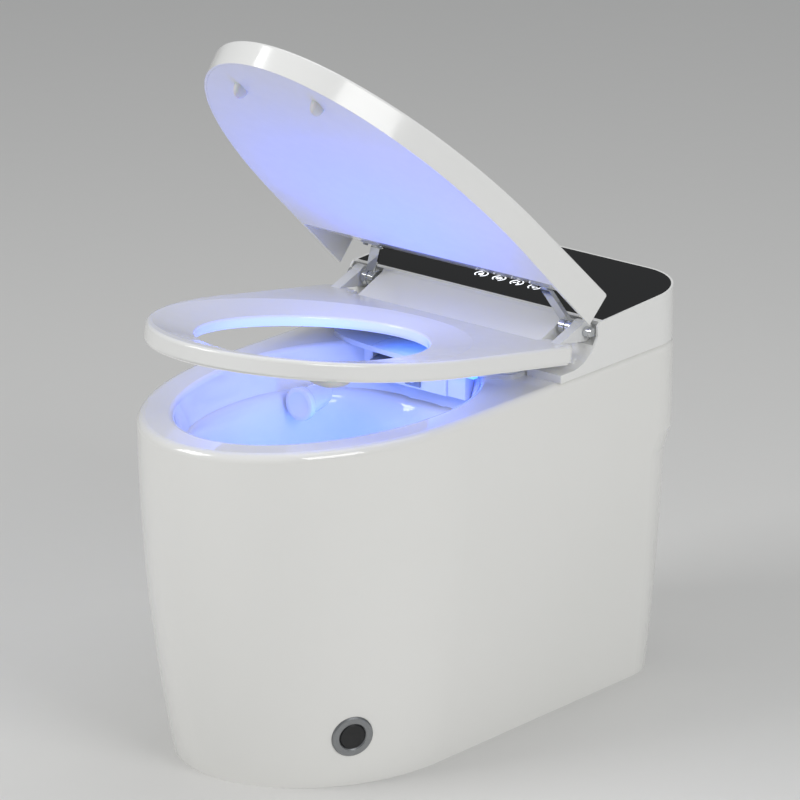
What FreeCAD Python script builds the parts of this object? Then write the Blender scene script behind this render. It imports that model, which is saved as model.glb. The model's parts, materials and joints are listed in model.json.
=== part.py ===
"""Floor-standing bidet toilet with its lid and seat part-way open, in millimetres.

The origin is the centre of the floor outlet on the floor, +Z is up and the front looks to -Y.
Seat and lid are drawn closed and then turned about the hinge to where they rest.
"""
import FreeCAD, Part
import math
import os
import re

import Sketcher

Vector = FreeCAD.Vector

SIZES = {
    # Pan, outside
    "body_width": 384,
    "body_length": 715,
    "rear_reach": 285,
    "rim_height": 420,
    "rim_nose": 284,
    "floor_nose": 205,
    "floor_front_inset": 56,
    "floor_side_inset": 24,
    "floor_rear_inset": 13,
    "rear_step": 12,
    "step_low_rise": -135,
    "step_high_rise": -110,
    "rear_corner": 73,
    "floor_corner": 60,
    "rim_round": 10,
    "mouth_round": 7,
    "skirt_wall": 12,
    "deck_depth": 30,
    # Pan, bowl and trapway
    "bowl_side": 42,
    "bowl_front_band": 43,
    "bowl_rear_y": 35,
    "bowl_middle_y": -146,
    "sump_y": -130,
    "bowl_floor_z": 100,
    "bowl_wall": 11,
    "trap_mouth_z": 135,
    "trap_crest_y": 40,
    "trap_crest_z": 205,
    "trap_back_y": 85,
    "trap_back_z": 150,
    "trap_drop_z": 70,
    "trap_bore": 26,
    "trap_wall": 8,
    "trap_bend": 36,
    "outlet_flange_radius": 62,
    "outlet_flange_thickness": 14,
    "seal_height": 10,
    "seal_bevel": 4,
    "seal_fit": 0.5,
    # Pan, equipment bay and channel to the bowl
    "bay_side": 52,
    "bay_front_y": 128,
    "bay_rear_y": 253,
    "bay_corner": 27,
    "bay_floor_z": 150,
    "bay_wall": 10,
    "channel_half_width": 78,
    "channel_rise": -37,
    # Swirl jet in the bowl
    "jet_side": 65,
    "jet_y": -84,
    "jet_rise": -68,
    "jet_radius": 21,
    "jet_tail_radius": 13,
    "jet_length": 66,
    "jet_bore": 7,
    "jet_dish": 15,
    "jet_dish_depth": 3,
    "jet_gap": 0.3,
    # Base plate of the seat unit
    "plate_thickness": 6,
    "plate_side": 5.4,
    "plate_front_y": 27.8,
    "plate_rear_y": 264,
    "plate_corner": 62,
    "tongue_front_y": -26,
    "tongue_side": 54,
    "tongue_corner": 30,
    "plate_slot_left": 62.4,
    "plate_slot_right": 43,
    "plate_slot_front_y": -19,
    "plate_slot_rear_y": 130,
    "notch_half": 9,
    "notch_rear_y": 147,
    "hose_hole_radius": 9,
    "riser_x": 60,
    "riser_y": 150,
    "cradle_left": 70,
    "cradle_right": 50,
    "cradle_depth": 10,
    "cradle_front_y": -16,
    "cradle_rear_y": 100,
    "cradle_front_rise": -35,
    "cradle_rear_rise": -16,
    "cradle_gap": 0.3,
    "shield_gap": 0.5,
    "shield_depth": 7,
    "shield_return": 22,
    # Rear housing and its glass
    "housing_inset": 1,
    "housing_wall": 4,
    "housing_front_y": 102,
    "glass_front_rise": 58,
    "glass_rear_rise": 66,
    "glass_thickness": 5,
    "glass_border": 2.5,
    "glass_gap": 0.2,
    "shelf_thickness": 4,
    "hump_side": 52,
    "hump_front_y": 40,
    "hump_front_rise": 33,
    "hump_wall": 4.5,
    "hump_end_wall": 6,
    "ramp_radius": 54,
    "ramp_y": 44,
    "ramp_rise": 10,
    "foot_y": 23.5,
    "cheek_y": 93,
    "cheek_chamfer": 5,
    "cheek_hollow_side": 46,
    "cheek_hollow_rise": 20,
    "cheek_hollow_y": 66,
    "cheek_hollow_rear": 84,
    # Hinge
    "hinge_y": 88,
    "hinge_rise": 46,
    "well_radius": 15,
    "well_inner_side": 51,
    "well_outer_side": 4,
    "pin_radius": 4,
    "pin_inner_side": 70,
    "pin_outer_side": 5,
    "pin_head_radius": 6.5,
    "pin_head_length": 9.5,
    "pin_head_bevel": 1.5,
    "running_gap": 0.05,
    "barrel_inner_side": 49,
    "barrel_outer_side": 31,
    "barrel_radius": 11,
    "barrel_groove": 1.2,
    "barrel_groove_width": 2,
    "lug_inner_side": 29.5,
    "lug_outer_side": 16,
    "lug_radius": 12.5,
    "lug_foot_front": 46,
    "boss_radius": 9,
    # Seat
    "seat_side": 1,
    "seat_front": 501.5,
    "seat_nose": 268,
    "seat_ear": 30,
    "seat_rear": 50,
    "seat_rear_side": 49,
    "seat_ear_side": 45,
    "seat_ear_corner": 16,
    "seat_drop": 12.5,
    "seat_thickness": 22,
    "seat_base_thickness": 3,
    "seat_base_inset": 2,
    "seat_round": 4,
    "seat_shell": 5,
    "hole_side": 75,
    "hole_front": 442,
    "hole_middle": 290,
    "hole_rear": 122,
    "hole_round": 3,
    "dish_depth": 9.5,
    "dish_margin": 16,
    "dish_rear": 82,
    "heater_thickness": 0.8,
    "heater_margin": 3,
    "seat_buffer_length": 56,
    "seat_buffer_width": 14,
    "seat_buffer_side": 70,
    "seat_buffer_front": 396,
    "seat_buffer_turn": 40,
    "seat_buffer_rear": 110,
    "seat_buffer_rear_side": 34,
    "buffer_gap": 0.3,
    "seat_angle": 9.5,
    # Lid
    "lid_side": -1,
    "lid_flare": 3,
    "lid_front": 538,
    "lid_nose": 351,
    "lid_rear": 20,
    "lid_rise": 1,
    "lid_thickness": 43,
    "lid_nose_thickness": 30,
    "lid_round": 3,
    "lid_skin": 5,
    "lid_lip": 3,
    "ear_tip": 3,
    "liner_ledge": 4,
    "liner_thickness": 3,
    "liner_gap": 0.2,
    "relief_depth": 33,
    "relief_front": 113,
    "relief_side": 3,
    "lid_hollow_rear": 122,
    "lid_buffer_x": 57.5,
    "lid_buffer_front": 471,
    "lid_buffer_length": 22,
    "lid_buffer_width": 9,
    "lid_angle": 43.7,
    "arm_width": 14,
    "arm_thickness": 5,
    "arm_end_in": 22,
    "arm_end_front": 46,
    "arm_pad_length": 26,
    "arm_pad_thickness": 2.4,
    "arm_screw_radius": 3,
    "arm_screw_height": 2,
    # Wash nozzle, along its own slope
    "nozzle_slope": 12,
    "nozzle_y": -20,
    "nozzle_rise": -21,
    "guide_half": 11.5,
    "guide_length": 150,
    "guide_slot_front": 19,
    "guide_slot_half": 4.2,
    "wand_radius": 7.5,
    "wand_start": 18,
    "wand_length": 183,
    "tip_reach": 4,
    "tip_round": 5,
    "spray_radius": 1.2,
    "spray_pitch": 4,
    "rack_front": 106,
    "rack_length": 94,
    "rack_half": 2.9,
    "rack_inset": 2,
    "tooth_module": 1,
    "pinion_place": 110,
    "pinion_half": 3,
    "pinion_bore": 2.5,
    "motor_radius": 14,
    "motor_height": 19,
    "motor_offset": 8,
    "motor_floor": 5,
    "motor_shaft_low": 3,
    # Warm-air dryer
    "duct_left": 62,
    "duct_width": 30,
    "duct_half": 9.5,
    "duct_wall": 2,
    "duct_length": 128,
    "flap_thickness": 1.6,
    "flap_gap": 0.4,
    "blower_x": -60,
    "blower_y": 152,
    "blower_radius": 34,
    "blower_height": 30,
    "blower_wall": 2.5,
    "blower_inlet": 17,
    "blower_snout_y": 106.5,
    "blower_snout_height": 16,
    "fan_shaft": 2.5,
    "dryer_fan_radius": 27,
    "dryer_fan_height": 18,
    "fan_blade": 1.6,
    "fan_plate": 2,
    "fan_hub": 6,
    # Deodoriser
    "deodoriser_x": 95,
    "deodoriser_y": 166,
    "deodoriser_radius": 27,
    "deodoriser_height": 24,
    "deodoriser_inlet": 13,
    "deodoriser_fan_radius": 20.5,
    "deodoriser_fan_height": 13,
    "filter_length": 50,
    "filter_width": 28,
    "filter_height": 20,
    "filter_rib": 2,
    # Hinge drives
    "drive_inner_side": 108,
    "drive_outer_side": 60,
    "drive_front_y": 76,
    "drive_depth": 30,
    "drive_height": 25,
    "drive_motor_radius": 10,
    "drive_motor_length": 21,
    # Boards
    "board_length": 120,
    "board_width": 46,
    "board_thickness": 1.6,
    "board_y": 206,
    "board_stand": 7,
    "board_stand_radius": 3.5,
    "board_margin": 7,
    "relay_length": 20,
    "relay_width": 15,
    "relay_height": 14,
    "capacitor_radius": 6,
    "capacitor_height": 17,
    "touch_length": 140,
    "touch_width": 46,
    "touch_y": 150,
    "touch_x": -78,
    # Night light
    "light_length": 46,
    "light_width": 8,
    "light_height": 5,
    "light_sink": 2,
    "light_y": -22,
    "light_x": 51,
    "light_gap": 0.2,
    # Water and power in the bay
    "inlet_side": 97,
    "inlet_z": 225,
    "inlet_thread": 10.5,
    "inlet_bore": 7,
    "inlet_flange": 17,
    "inlet_flange_thickness": 4,
    "inlet_hole": 12,
    "inlet_inner_y": 240,
    "gland_radius": 9,
    "gland_flange": 13,
    "gland_bore": 3.5,
    "valve_length": 44,
    "valve_radius": 13,
    "coil_radius": 15,
    "coil_height": 34,
    "pump_side": 108,
    "pump_y": 190,
    "volute_radius": 42,
    "volute_height": 34,
    "pump_motor_radius": 29,
    "pump_motor_height": 76,
    "pump_port_radius": 9,
    "heater_x": 12,
    "heater_y": 136,
    "heater_end_side": 68,
    "heater_width": 40,
    "heater_height": 58,
    "heater_fin": 3,
    "supply_x": -28,
    "supply_y": 196,
    "supply_length": 78,
    "supply_width": 48,
    "supply_height": 34,
    "hose_radius": 5,
    "hose_bore": 3.5,
    "hose_bend": 16,
    # Foot button
    "button_y": -294,
    "button_z": 63,
    "button_flange": 25,
    "button_flange_thickness": 4.5,
    "button_seat": 2.5,
    "button_sleeve": 19,
    "button_sleeve_length": 22,
    "button_cap": 15.5,
    "button_cap_length": 14,
    "button_cap_proud": 1.5,
    "button_dish": 11,
    "button_dish_depth": 1.2,
    "button_travel": 4,
    "button_gap": 0.3,
    "switch_side": 18,
    "switch_height": 9,
    "plunger_radius": 3,
    "bezel_round": 1.6,
    # Fasteners
    "screw_radius": 2.5,
    "screw_head": 5,
    "screw_head_height": 3,
    "screw_length": 14,
    "screw_bottom_gap": 1,
    "screw_side": 32,
    "screw_front_y": 116,
    "screw_rear_y": 236,
    # Cutting reach of the tools that must run past a face
    "overrun": 2,
}

# Half widths that follow the body, each with its distance in from the side
ACROSS = {
    "bowl_half_width": "bowl_side",
    "bay_half_width": "bay_side",
    "plate_half_width": "plate_side",
    "tongue_half_width": "tongue_side",
    "hump_half_width": "hump_side",
    "cheek_hollow_in": "cheek_hollow_side",
    "well_in": "well_inner_side",
    "well_out": "well_outer_side",
    "pin_in": "pin_inner_side",
    "pin_out": "pin_outer_side",
    "barrel_in": "barrel_inner_side",
    "barrel_out": "barrel_outer_side",
    "lug_in": "lug_inner_side",
    "lug_out": "lug_outer_side",
    "seat_half_width": "seat_side",
    "seat_rear_half": "seat_rear_side",
    "seat_ear_in": "seat_ear_side",
    "hole_half_width": "hole_side",
    "seat_buffer_x": "seat_buffer_side",
    "seat_buffer_rear_x": "seat_buffer_rear_side",
    "lid_half_width": "lid_side",
    "screw_x": "screw_side",
    "drive_in": "drive_inner_side",
    "drive_out": "drive_outer_side",
    "inlet_x": "inlet_side",
    "relief_half": "relief_side",
    "jet_out": "jet_side",
    "pump_out": "pump_side",
    "heater_end": "heater_end_side",
}
# Heights that follow the rim, each with its rise above it
UPWARD = {
    "step_low": "step_low_rise",
    "step_high": "step_high_rise",
    "channel_floor_z": "channel_rise",
    "jet_z": "jet_rise",
    "cradle_front_z": "cradle_front_rise",
    "cradle_rear_z": "cradle_rear_rise",
    "glass_front_z": "glass_front_rise",
    "glass_rear_z": "glass_rear_rise",
    "hump_front_z": "hump_front_rise",
    "ramp_z": "ramp_rise",
    "cheek_hollow_z": "cheek_hollow_rise",
    "hinge_z": "hinge_rise",
    "nozzle_z": "nozzle_rise",
}

# Bowl sections: depth, width, forward reach and backward reach as shares, then the move to the sump
BOWL_SHARES = (
    (0.0, 1.0, 1.0, 1.0, 0.0),
    (0.22, 0.89, 0.90, 0.82, 0.35),
    (0.53, 0.70, 0.65, 0.54, 0.62),
    (0.81, 0.42, 0.36, 0.33, 0.88),
    (1.0, 0.27, 0.16, 0.20, 1.0),
)
# Heights of the skirt sections as shares of the height below the rear step
SKIRT_SHARES = (0.0, 0.2, 0.45, 0.7, 1.0)
# Rack and pinion tooth: thickness at the pitch line, at the tip, and root depth as shares
TOOTH_SHARES = (0.40, 0.16, 1.2)
PINION_TEETH = 16
FAN_BLADES = 11
HEATER_FINS = 6
TOLERANCE_SHARE = 1e-4
# Two sections of the seat's dish as shares of the way from the hole's edge to the dish's rim
DISH_SHARES = (-0.15, 1.15)
PIECES = []

doc = FreeCAD.newDocument("BidetToilet")
sheet = doc.addObject("Spreadsheet::Sheet", "Sizes")
for row, (alias, value) in enumerate(SIZES.items(), start=1):
    sheet.set(f"A{row}", alias)
    sheet.set(f"B{row}", str(value))
    sheet.setAlias(f"B{row}", alias)
doc.recompute()


# Sheet access and small builders


def size(name):
    """Return one size, from the sheet or worked out from the sizes that it follows."""
    if name in ACROSS:
        return size("body_width") / 2 - size(ACROSS[name])
    if name in UPWARD:
        return size("rim_height") + size(UPWARD[name])
    return float(sheet.get(name))


def bound(text):
    """Turn size names in an expression into references to the sheet."""
    def refer(word):
        name = word.group()
        if name in ACROSS:
            return f"(Sizes.body_width / 2 - Sizes.{ACROSS[name]})"
        if name in UPWARD:
            return f"(Sizes.rim_height + Sizes.{UPWARD[name]})"
        return "Sizes." + name if name in SIZES else name
    return re.sub(r"[A-Za-z_]\w*", refer, text)


def bind(obj, prop, text):
    """Drive a property of an object by an expression in size names."""
    obj.setExpression(prop, bound(text))


def locate(obj, x, y, z, direction=None):
    """Place an object by expressions, its own Z along the direction."""
    if direction is not None:
        obj.Placement.Rotation = FreeCAD.Rotation(Vector(0, 0, 1), direction)
    bind(obj, "Placement.Base.x", x)
    bind(obj, "Placement.Base.y", y)
    bind(obj, "Placement.Base.z", z)
    return obj


def box(name, length, width, height, x, y, z):
    """A block from its low corner."""
    obj = doc.addObject("Part::Box", name)
    bind(obj, "Length", length)
    bind(obj, "Width", width)
    bind(obj, "Height", height)
    return locate(obj, x, y, z)


def rod(name, radius, height, x, y, z, direction=None):
    """A cylinder from the centre of its base."""
    obj = doc.addObject("Part::Cylinder", name)
    bind(obj, "Radius", radius)
    bind(obj, "Height", height)
    return locate(obj, x, y, z, direction)


def joined(name, *members):
    """Fuse several objects."""
    obj = doc.addObject("Part::MultiFuse", name)
    obj.Shapes = list(members)
    obj.Refine = True
    return obj


def cut(name, base, *tools):
    """Cut one or more tools from a base."""
    obj = doc.addObject("Part::Cut", name)
    obj.Base = base
    obj.Tool = tools[0] if len(tools) == 1 else joined(name + "_tools", *tools)
    obj.Refine = True
    return obj


def made(name, shape):
    """Hold a sculpted shape whose sizes were read from the sheet."""
    obj = doc.addObject("Part::Feature", name)
    obj.Shape = shape
    return obj


def piece(node, obj):
    """Mark an object as a finished sub-part under its node name."""
    obj.Label = node
    PIECES.append(obj)
    return obj


def sketched(body, role, outline):
    """Draw a closed outline on an origin plane, every corner driven by the sheet."""
    plane = [item for item in body.Origin.OriginFeatures if item.Role == role][0]
    sketch = body.newObject("Sketcher::SketchObject", body.Name + "_outline")
    sketch.AttachmentSupport = [(plane, "")]
    sketch.MapMode = "FlatFace"
    count = len(outline)
    ring = [Vector(math.cos(math.tau * i / count), math.sin(math.tau * i / count), 0) for i in range(count)]
    for index in range(count):
        sketch.addGeometry(Part.LineSegment(ring[index], ring[(index + 1) % count]))
    for index in range(count):
        sketch.addConstraint(Sketcher.Constraint("Coincident", index, 2, (index + 1) % count, 1))
    for index, corner in enumerate(outline):
        for kind, text in zip(("DistanceX", "DistanceY"), corner):
            number = sketch.addConstraint(Sketcher.Constraint(kind, -1, 1, index, 1, 1.0))
            sketch.setExpression(f"Constraints[{number}]", bound(text))
    doc.recompute()
    return sketch


def turned(name, outline):
    """A turned body: outline as radius and height, about its own Z."""
    body = doc.addObject("PartDesign::Body", name)
    sketch = sketched(body, "XZ_Plane", outline)
    feature = body.newObject("PartDesign::Revolution", name + "_turn")
    feature.Profile = sketch
    feature.ReferenceAxis = (sketch, ["V_Axis"])
    feature.Angle = 360
    body.Tip = feature
    doc.recompute()
    return body


# Outlines and sculpted solids


def half_ellipse(half_width, reach, y, z, front=True):
    """Half an ellipse bulging to the front, or to the rear, at one height."""
    begin = 180 if front else 0
    arc = Part.makeCircle(1, Vector(), Vector(0, 0, 1), begin, begin + 180)
    stretch = FreeCAD.Matrix(half_width, 0, 0, 0, 0, reach, 0, y, 0, 0, 1, z, 0, 0, 0, 1)
    return arc.transformGeometry(stretch)


def corner_arc(x, y, z, radius, begin):
    """A quarter circle at one height, from the given angle on."""
    return Part.makeCircle(radius, Vector(x, y, z), Vector(0, 0, 1), begin, begin + 90)


def line(start, end):
    """A straight edge between two points."""
    return Part.makeLine(Vector(*start), Vector(*end))


def plan(half_width, nose, front, rear, corner, z):
    """Body outline: elliptic nose, straight sides, rounded rear corners."""
    middle = front + nose
    turn = rear - corner
    edges = [
        half_ellipse(half_width, nose, middle, z),
        line((half_width, middle, z), (half_width, turn, z)),
        corner_arc(half_width - corner, turn, z, corner, 0),
        line((half_width - corner, rear, z), (corner - half_width, rear, z)),
        corner_arc(corner - half_width, turn, z, corner, 90),
        line((-half_width, turn, z), (-half_width, middle, z)),
    ]
    return Part.Wire(edges)


def egg(half_width, forward, backward, middle, z):
    """Bowl or seat opening: two half ellipses on one middle line."""
    return Part.Wire([
        half_ellipse(half_width, forward, middle, z),
        half_ellipse(half_width, backward, middle, z, front=False),
    ])


def loft(wires, ruled=False):
    """A solid through closed outlines."""
    return Part.makeLoft(wires, True, ruled)


def prism(wire, height):
    """An outline pushed straight up."""
    return Part.Face(wire).extrude(Vector(0, 0, height))


def slab(profile, half_width, low=None):
    """A side profile of (y, z) corners, spread in X; from -half_width unless low is given."""
    begin = -half_width if low is None else low
    corners = [Vector(begin, y, z) for y, z in profile]
    face = Part.Face(Part.makePolygon(corners + corners[:1]))
    return face.extrude(Vector(half_width - begin, 0, 0))


def edges_at(shape, z):
    """Edges that lie flat at one height."""
    touch = TOLERANCE_SHARE * size("rim_height")
    flat = []
    for edge in shape.Edges:
        extent = edge.BoundBox
        if abs(extent.ZMin - z) < touch and abs(extent.ZMax - z) < touch:
            flat.append(edge)
    return flat


def rounded_route(points, radius):
    """Straight runs joined by tangent arcs."""
    edges = []
    start = points[0]
    for before, corner, after in zip(points, points[1:], points[2:]):
        back = (before - corner).normalize()
        ahead = (after - corner).normalize()
        half = math.acos(max(-1, min(1, back.dot(ahead)))) / 2
        reach = radius / math.tan(half)
        first = corner + back * reach
        last = corner + ahead * reach
        inward = (back + ahead).normalize()
        centre = corner + inward * (radius / math.sin(half))
        edges.append(Part.makeLine(start, first))
        edges.append(Part.Arc(first, centre - inward * radius, last).toShape())
        start = last
    edges.append(Part.makeLine(start, points[-1]))
    return Part.Wire(edges)


def tube_along(points, bend, radius):
    """A round bar along a route of straight runs and bends."""
    route = rounded_route(points, bend)
    heading = points[1] - points[0]
    ring = Part.Wire([Part.makeCircle(radius, points[0], heading)])
    return route.makePipeShell([ring], True, True)


def hinge_turn(angle):
    """Placement that opens a piece by an angle about the hinge line."""
    pivot = Vector(0, size("hinge_y"), size("hinge_z"))
    return FreeCAD.Placement(Vector(), FreeCAD.Rotation(Vector(1, 0, 0), -angle), pivot)


def slope_turn():
    """Placement that tips the wash nozzle down to the front."""
    pivot = Vector(0, size("nozzle_y"), size("nozzle_z"))
    return FreeCAD.Placement(Vector(), FreeCAD.Rotation(Vector(1, 0, 0), size("nozzle_slope")), pivot)


# Ceramic pan


def skirt_plan(z, wall=0.0, rear=None):
    """Outline of the pan at a height, pulled in by a wall."""
    drop = max(0.0, 1 - z / size("rim_height"))
    ease = drop * drop
    half_width = size("body_width") / 2 - size("floor_side_inset") * ease - wall
    front = size("rear_reach") - size("body_length") + size("floor_front_inset") * ease + wall
    nose = size("rim_nose") + (size("floor_nose") - size("rim_nose")) * ease - wall
    corner = size("rear_corner") + (size("floor_corner") - size("rear_corner")) * ease - wall
    if rear is None:
        rear = size("rear_reach") - size("rear_step") - size("floor_rear_inset") * ease
    return plan(half_width, nose, front, rear - wall, corner, max(z, 0.0) if not wall else z)


def pan_outside():
    """Skirt, slanted step and collar, with a rounded rim."""
    low = size("step_low")
    high = size("step_high")
    rim = size("rim_height")
    rear = size("rear_reach")
    skirt = loft([skirt_plan(share * low) for share in SKIRT_SHARES])
    step = loft([skirt_plan(low), skirt_plan(high, rear=rear)], ruled=True)
    collar = loft([skirt_plan(high, rear=rear), skirt_plan((high + rim) / 2, rear=rear),
                   skirt_plan(rim, rear=rear)])
    whole = skirt.fuse([step, collar]).removeSplitter()
    return whole.makeFillet(size("rim_round"), edges_at(whole, rim))


def bowl_section(shares, grow=0.0, lower=0.0):
    """One outline of the bowl."""
    depth, width, forward, backward, move = shares
    front = size("rear_reach") - size("body_length") + size("bowl_front_band")
    middle = size("bowl_middle_y")
    ahead = middle - front
    behind = size("bowl_rear_y") - middle
    centre = middle + (size("sump_y") - middle) * move
    bowl_depth = size("rim_height") - size("bowl_floor_z")
    height = size("rim_height") - bowl_depth * depth - lower
    return egg(size("bowl_half_width") * width + grow, ahead * forward + grow, behind * backward + grow,
               centre, height)


def bowl_inside():
    """The water side of the bowl, run out above the rim."""
    cavity = loft([bowl_section(shares) for shares in BOWL_SHARES])
    mouth = prism(bowl_section(BOWL_SHARES[0]), size("overrun"))
    return cavity.fuse(mouth)


def bowl_outside():
    """The hidden side of the bowl, ending inside the deck."""
    wall = size("bowl_wall")
    top = bowl_section(BOWL_SHARES[0], wall, size("deck_depth") / 2)
    lower = [bowl_section(shares, wall) for shares in BOWL_SHARES[1:-1]]
    floor = bowl_section(BOWL_SHARES[-1], wall, wall)
    return loft([top] + lower + [floor])


def trap_route(end):
    """Centre line of the trapway from the sump over the crest to the floor."""
    return [
        Vector(0, size("sump_y"), size("trap_mouth_z")),
        Vector(0, size("trap_crest_y"), size("trap_crest_z")),
        Vector(0, size("trap_back_y"), size("trap_back_z")),
        Vector(0, 0, size("trap_drop_z")),
        Vector(0, 0, end),
    ]


def block(low, high):
    """A block between two corners."""
    corner = Vector(*low)
    span = Vector(*high) - corner
    return Part.makeBox(span.x, span.y, span.z, corner)


def rounded_block(low, high, radius):
    """A block whose two upright rear edges are rounded."""
    whole = block(low, high)
    upright = [edge for edge in whole.Edges if edge.BoundBox.YMin > high[1] - radius
               and edge.BoundBox.XLength < radius]
    return whole.makeFillet(radius, [edge for edge in upright if edge.BoundBox.ZLength > radius])


def button_frame():
    """Placement on the skirt where the foot button sits, its Z pointing outward."""
    z = size("button_z")
    y = size("button_y")

    def side(at_y, at_z):
        ease = (1 - at_z / size("rim_height")) ** 2
        half_width = size("body_width") / 2 - size("floor_side_inset") * ease
        front = size("rear_reach") - size("body_length") + size("floor_front_inset") * ease
        nose = size("rim_nose") + (size("floor_nose") - size("rim_nose")) * ease
        offset = min(0.0, at_y - front - nose) / nose
        return half_width * math.sqrt(max(0.0, 1 - offset * offset))

    reach = size("button_flange")
    along = (side(y + reach, z) - side(y - reach, z)) / (2 * reach)
    upward = (side(y, z + reach) - side(y, z - reach)) / (2 * reach)
    normal = Vector(1, -along, -upward).normalize()
    return FreeCAD.Placement(Vector(side(y, z), y, z), FreeCAD.Rotation(Vector(0, 0, 1), normal))


def screw_places():
    """Where the plate is screwed to the pan."""
    return [(side * size("screw_x"), y) for side in (-1, 1)
            for y in (size("screw_front_y"), size("screw_rear_y"))]


def ceramic_pan():
    """Hollow skirt, bowl, trapway, equipment bay and the holes through them."""
    rim = size("rim_height")
    deck = rim - size("deck_depth")
    over = size("overrun")
    wall = size("bay_wall")
    hollow = loft([skirt_plan(share * deck, size("skirt_wall")) for share in SKIRT_SHARES])
    hollow = hollow.fuse(prism(skirt_plan(0.0, size("skirt_wall")).translated(Vector(0, 0, -over)), over))
    seal = size("seal_height")
    bore = size("trap_bore")
    trap = tube_along(trap_route(0.0), size("trap_bend"), bore + size("trap_wall"))
    flange = Part.makeCylinder(size("outlet_flange_radius"), size("outlet_flange_thickness"),
                               Vector(0, 0, seal))
    bay_low = (-size("bay_half_width"), size("bay_front_y"), size("bay_floor_z"))
    bay_high = (size("bay_half_width"), size("bay_rear_y"), rim + over)
    bay = rounded_block(bay_low, bay_high, size("bay_corner"))
    shell_low = [at - wall for at in bay_low]
    shell_high = [bay_high[0] + wall, bay_high[1] + wall, deck + wall]
    bay_shell = rounded_block(shell_low, shell_high, size("bay_corner") + wall)
    half = size("channel_half_width")
    floor = size("channel_floor_z")
    channel = block((-half, size("bowl_middle_y"), floor), (half, bay_low[1] + over, rim + over))
    channel_shell = block((-half - wall, size("bowl_rear_y") - wall, floor - wall),
                          (half + wall, bay_low[1], deck + wall))
    channel = channel.cut(block((-half - wall, size("bowl_middle_y") - over, floor - wall),
                                (half + wall, size("bowl_rear_y") - size("deck_depth") * 2, rim + 2 * over)))
    body = pan_outside().cut(hollow)
    body = body.fuse([bowl_outside(), trap, flange, bay_shell, channel_shell])
    passage = tube_along(trap_route(-over), size("trap_bend"), bore)
    body = body.cut(bowl_inside()).removeSplitter()
    mouth = [edge for edge in edges_at(body, rim)
             if edge.BoundBox.XLength < size("body_width") - 2 * size("rim_round")]
    mouth = [edge for edge in mouth if edge.BoundBox.YMax < size("bowl_rear_y") + over
             and edge.BoundBox.XLength > half]
    body = body.makeFillet(size("mouth_round"), mouth)
    body = body.cut([passage, bay, channel])
    gap = size("jet_gap")
    jet = Part.makeCone(size("jet_radius") + gap, size("jet_tail_radius") + gap, size("jet_length") + gap,
                        Vector(-size("jet_out"), size("jet_y"), size("jet_z")), Vector(0, 1, 0))
    inlet = Part.makeCylinder(size("inlet_hole"), size("rear_reach"),
                              Vector(size("inlet_x"), size("bay_rear_y") - over, size("inlet_z")),
                              Vector(0, 1, 0))
    gland = Part.makeCylinder(size("gland_radius") + gap, size("rear_reach"),
                              Vector(-size("inlet_x"), size("bay_rear_y") - over, size("inlet_z")),
                              Vector(0, 1, 0))
    sleeve = Part.makeCylinder(size("button_sleeve") + gap, size("body_width") / 4,
                               Vector(0, 0, -size("body_width") / 8))
    seat = Part.makeCylinder(size("button_flange") + gap, size("body_width") / 8,
                             Vector(0, 0, -size("button_seat")))
    for tool in (sleeve, seat):
        tool.Placement = button_frame()
    tools = [jet, inlet, gland, sleeve, seat]
    depth = size("screw_length") - size("plate_thickness") + size("screw_bottom_gap")
    for x, y in screw_places():
        tools.append(Part.makeCylinder(size("screw_radius") + size("running_gap"), depth + over,
                                       Vector(x, y, rim - depth)))
    return body.cut(tools).removeSplitter()


piece("ceramic_pan", made("pan", ceramic_pan()))
jet_outline = [
    ("jet_bore", "0"),
    ("jet_dish", "0"),
    ("jet_dish", "jet_dish_depth"),
    ("jet_radius - jet_dish_depth", "jet_dish_depth"),
    ("jet_radius - jet_dish_depth", "0"),
    ("jet_radius", "0"),
    ("jet_tail_radius", "jet_length"),
    ("jet_bore", "jet_length"),
]
jet = turned("jet", jet_outline)
piece("swirl_jet", locate(jet, "-jet_out", "jet_y", "jet_z", Vector(0, 1, 0)))

seal_outline = [
    ("trap_bore + trap_wall + seal_fit", "0"),
    ("outlet_flange_radius - seal_bevel", "0"),
    ("outlet_flange_radius", "seal_bevel"),
    ("outlet_flange_radius", "seal_height"),
    ("trap_bore + trap_wall + seal_fit", "seal_height"),
]
piece("floor_seal", turned("seal", seal_outline))


# Base plate of the seat unit


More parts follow.
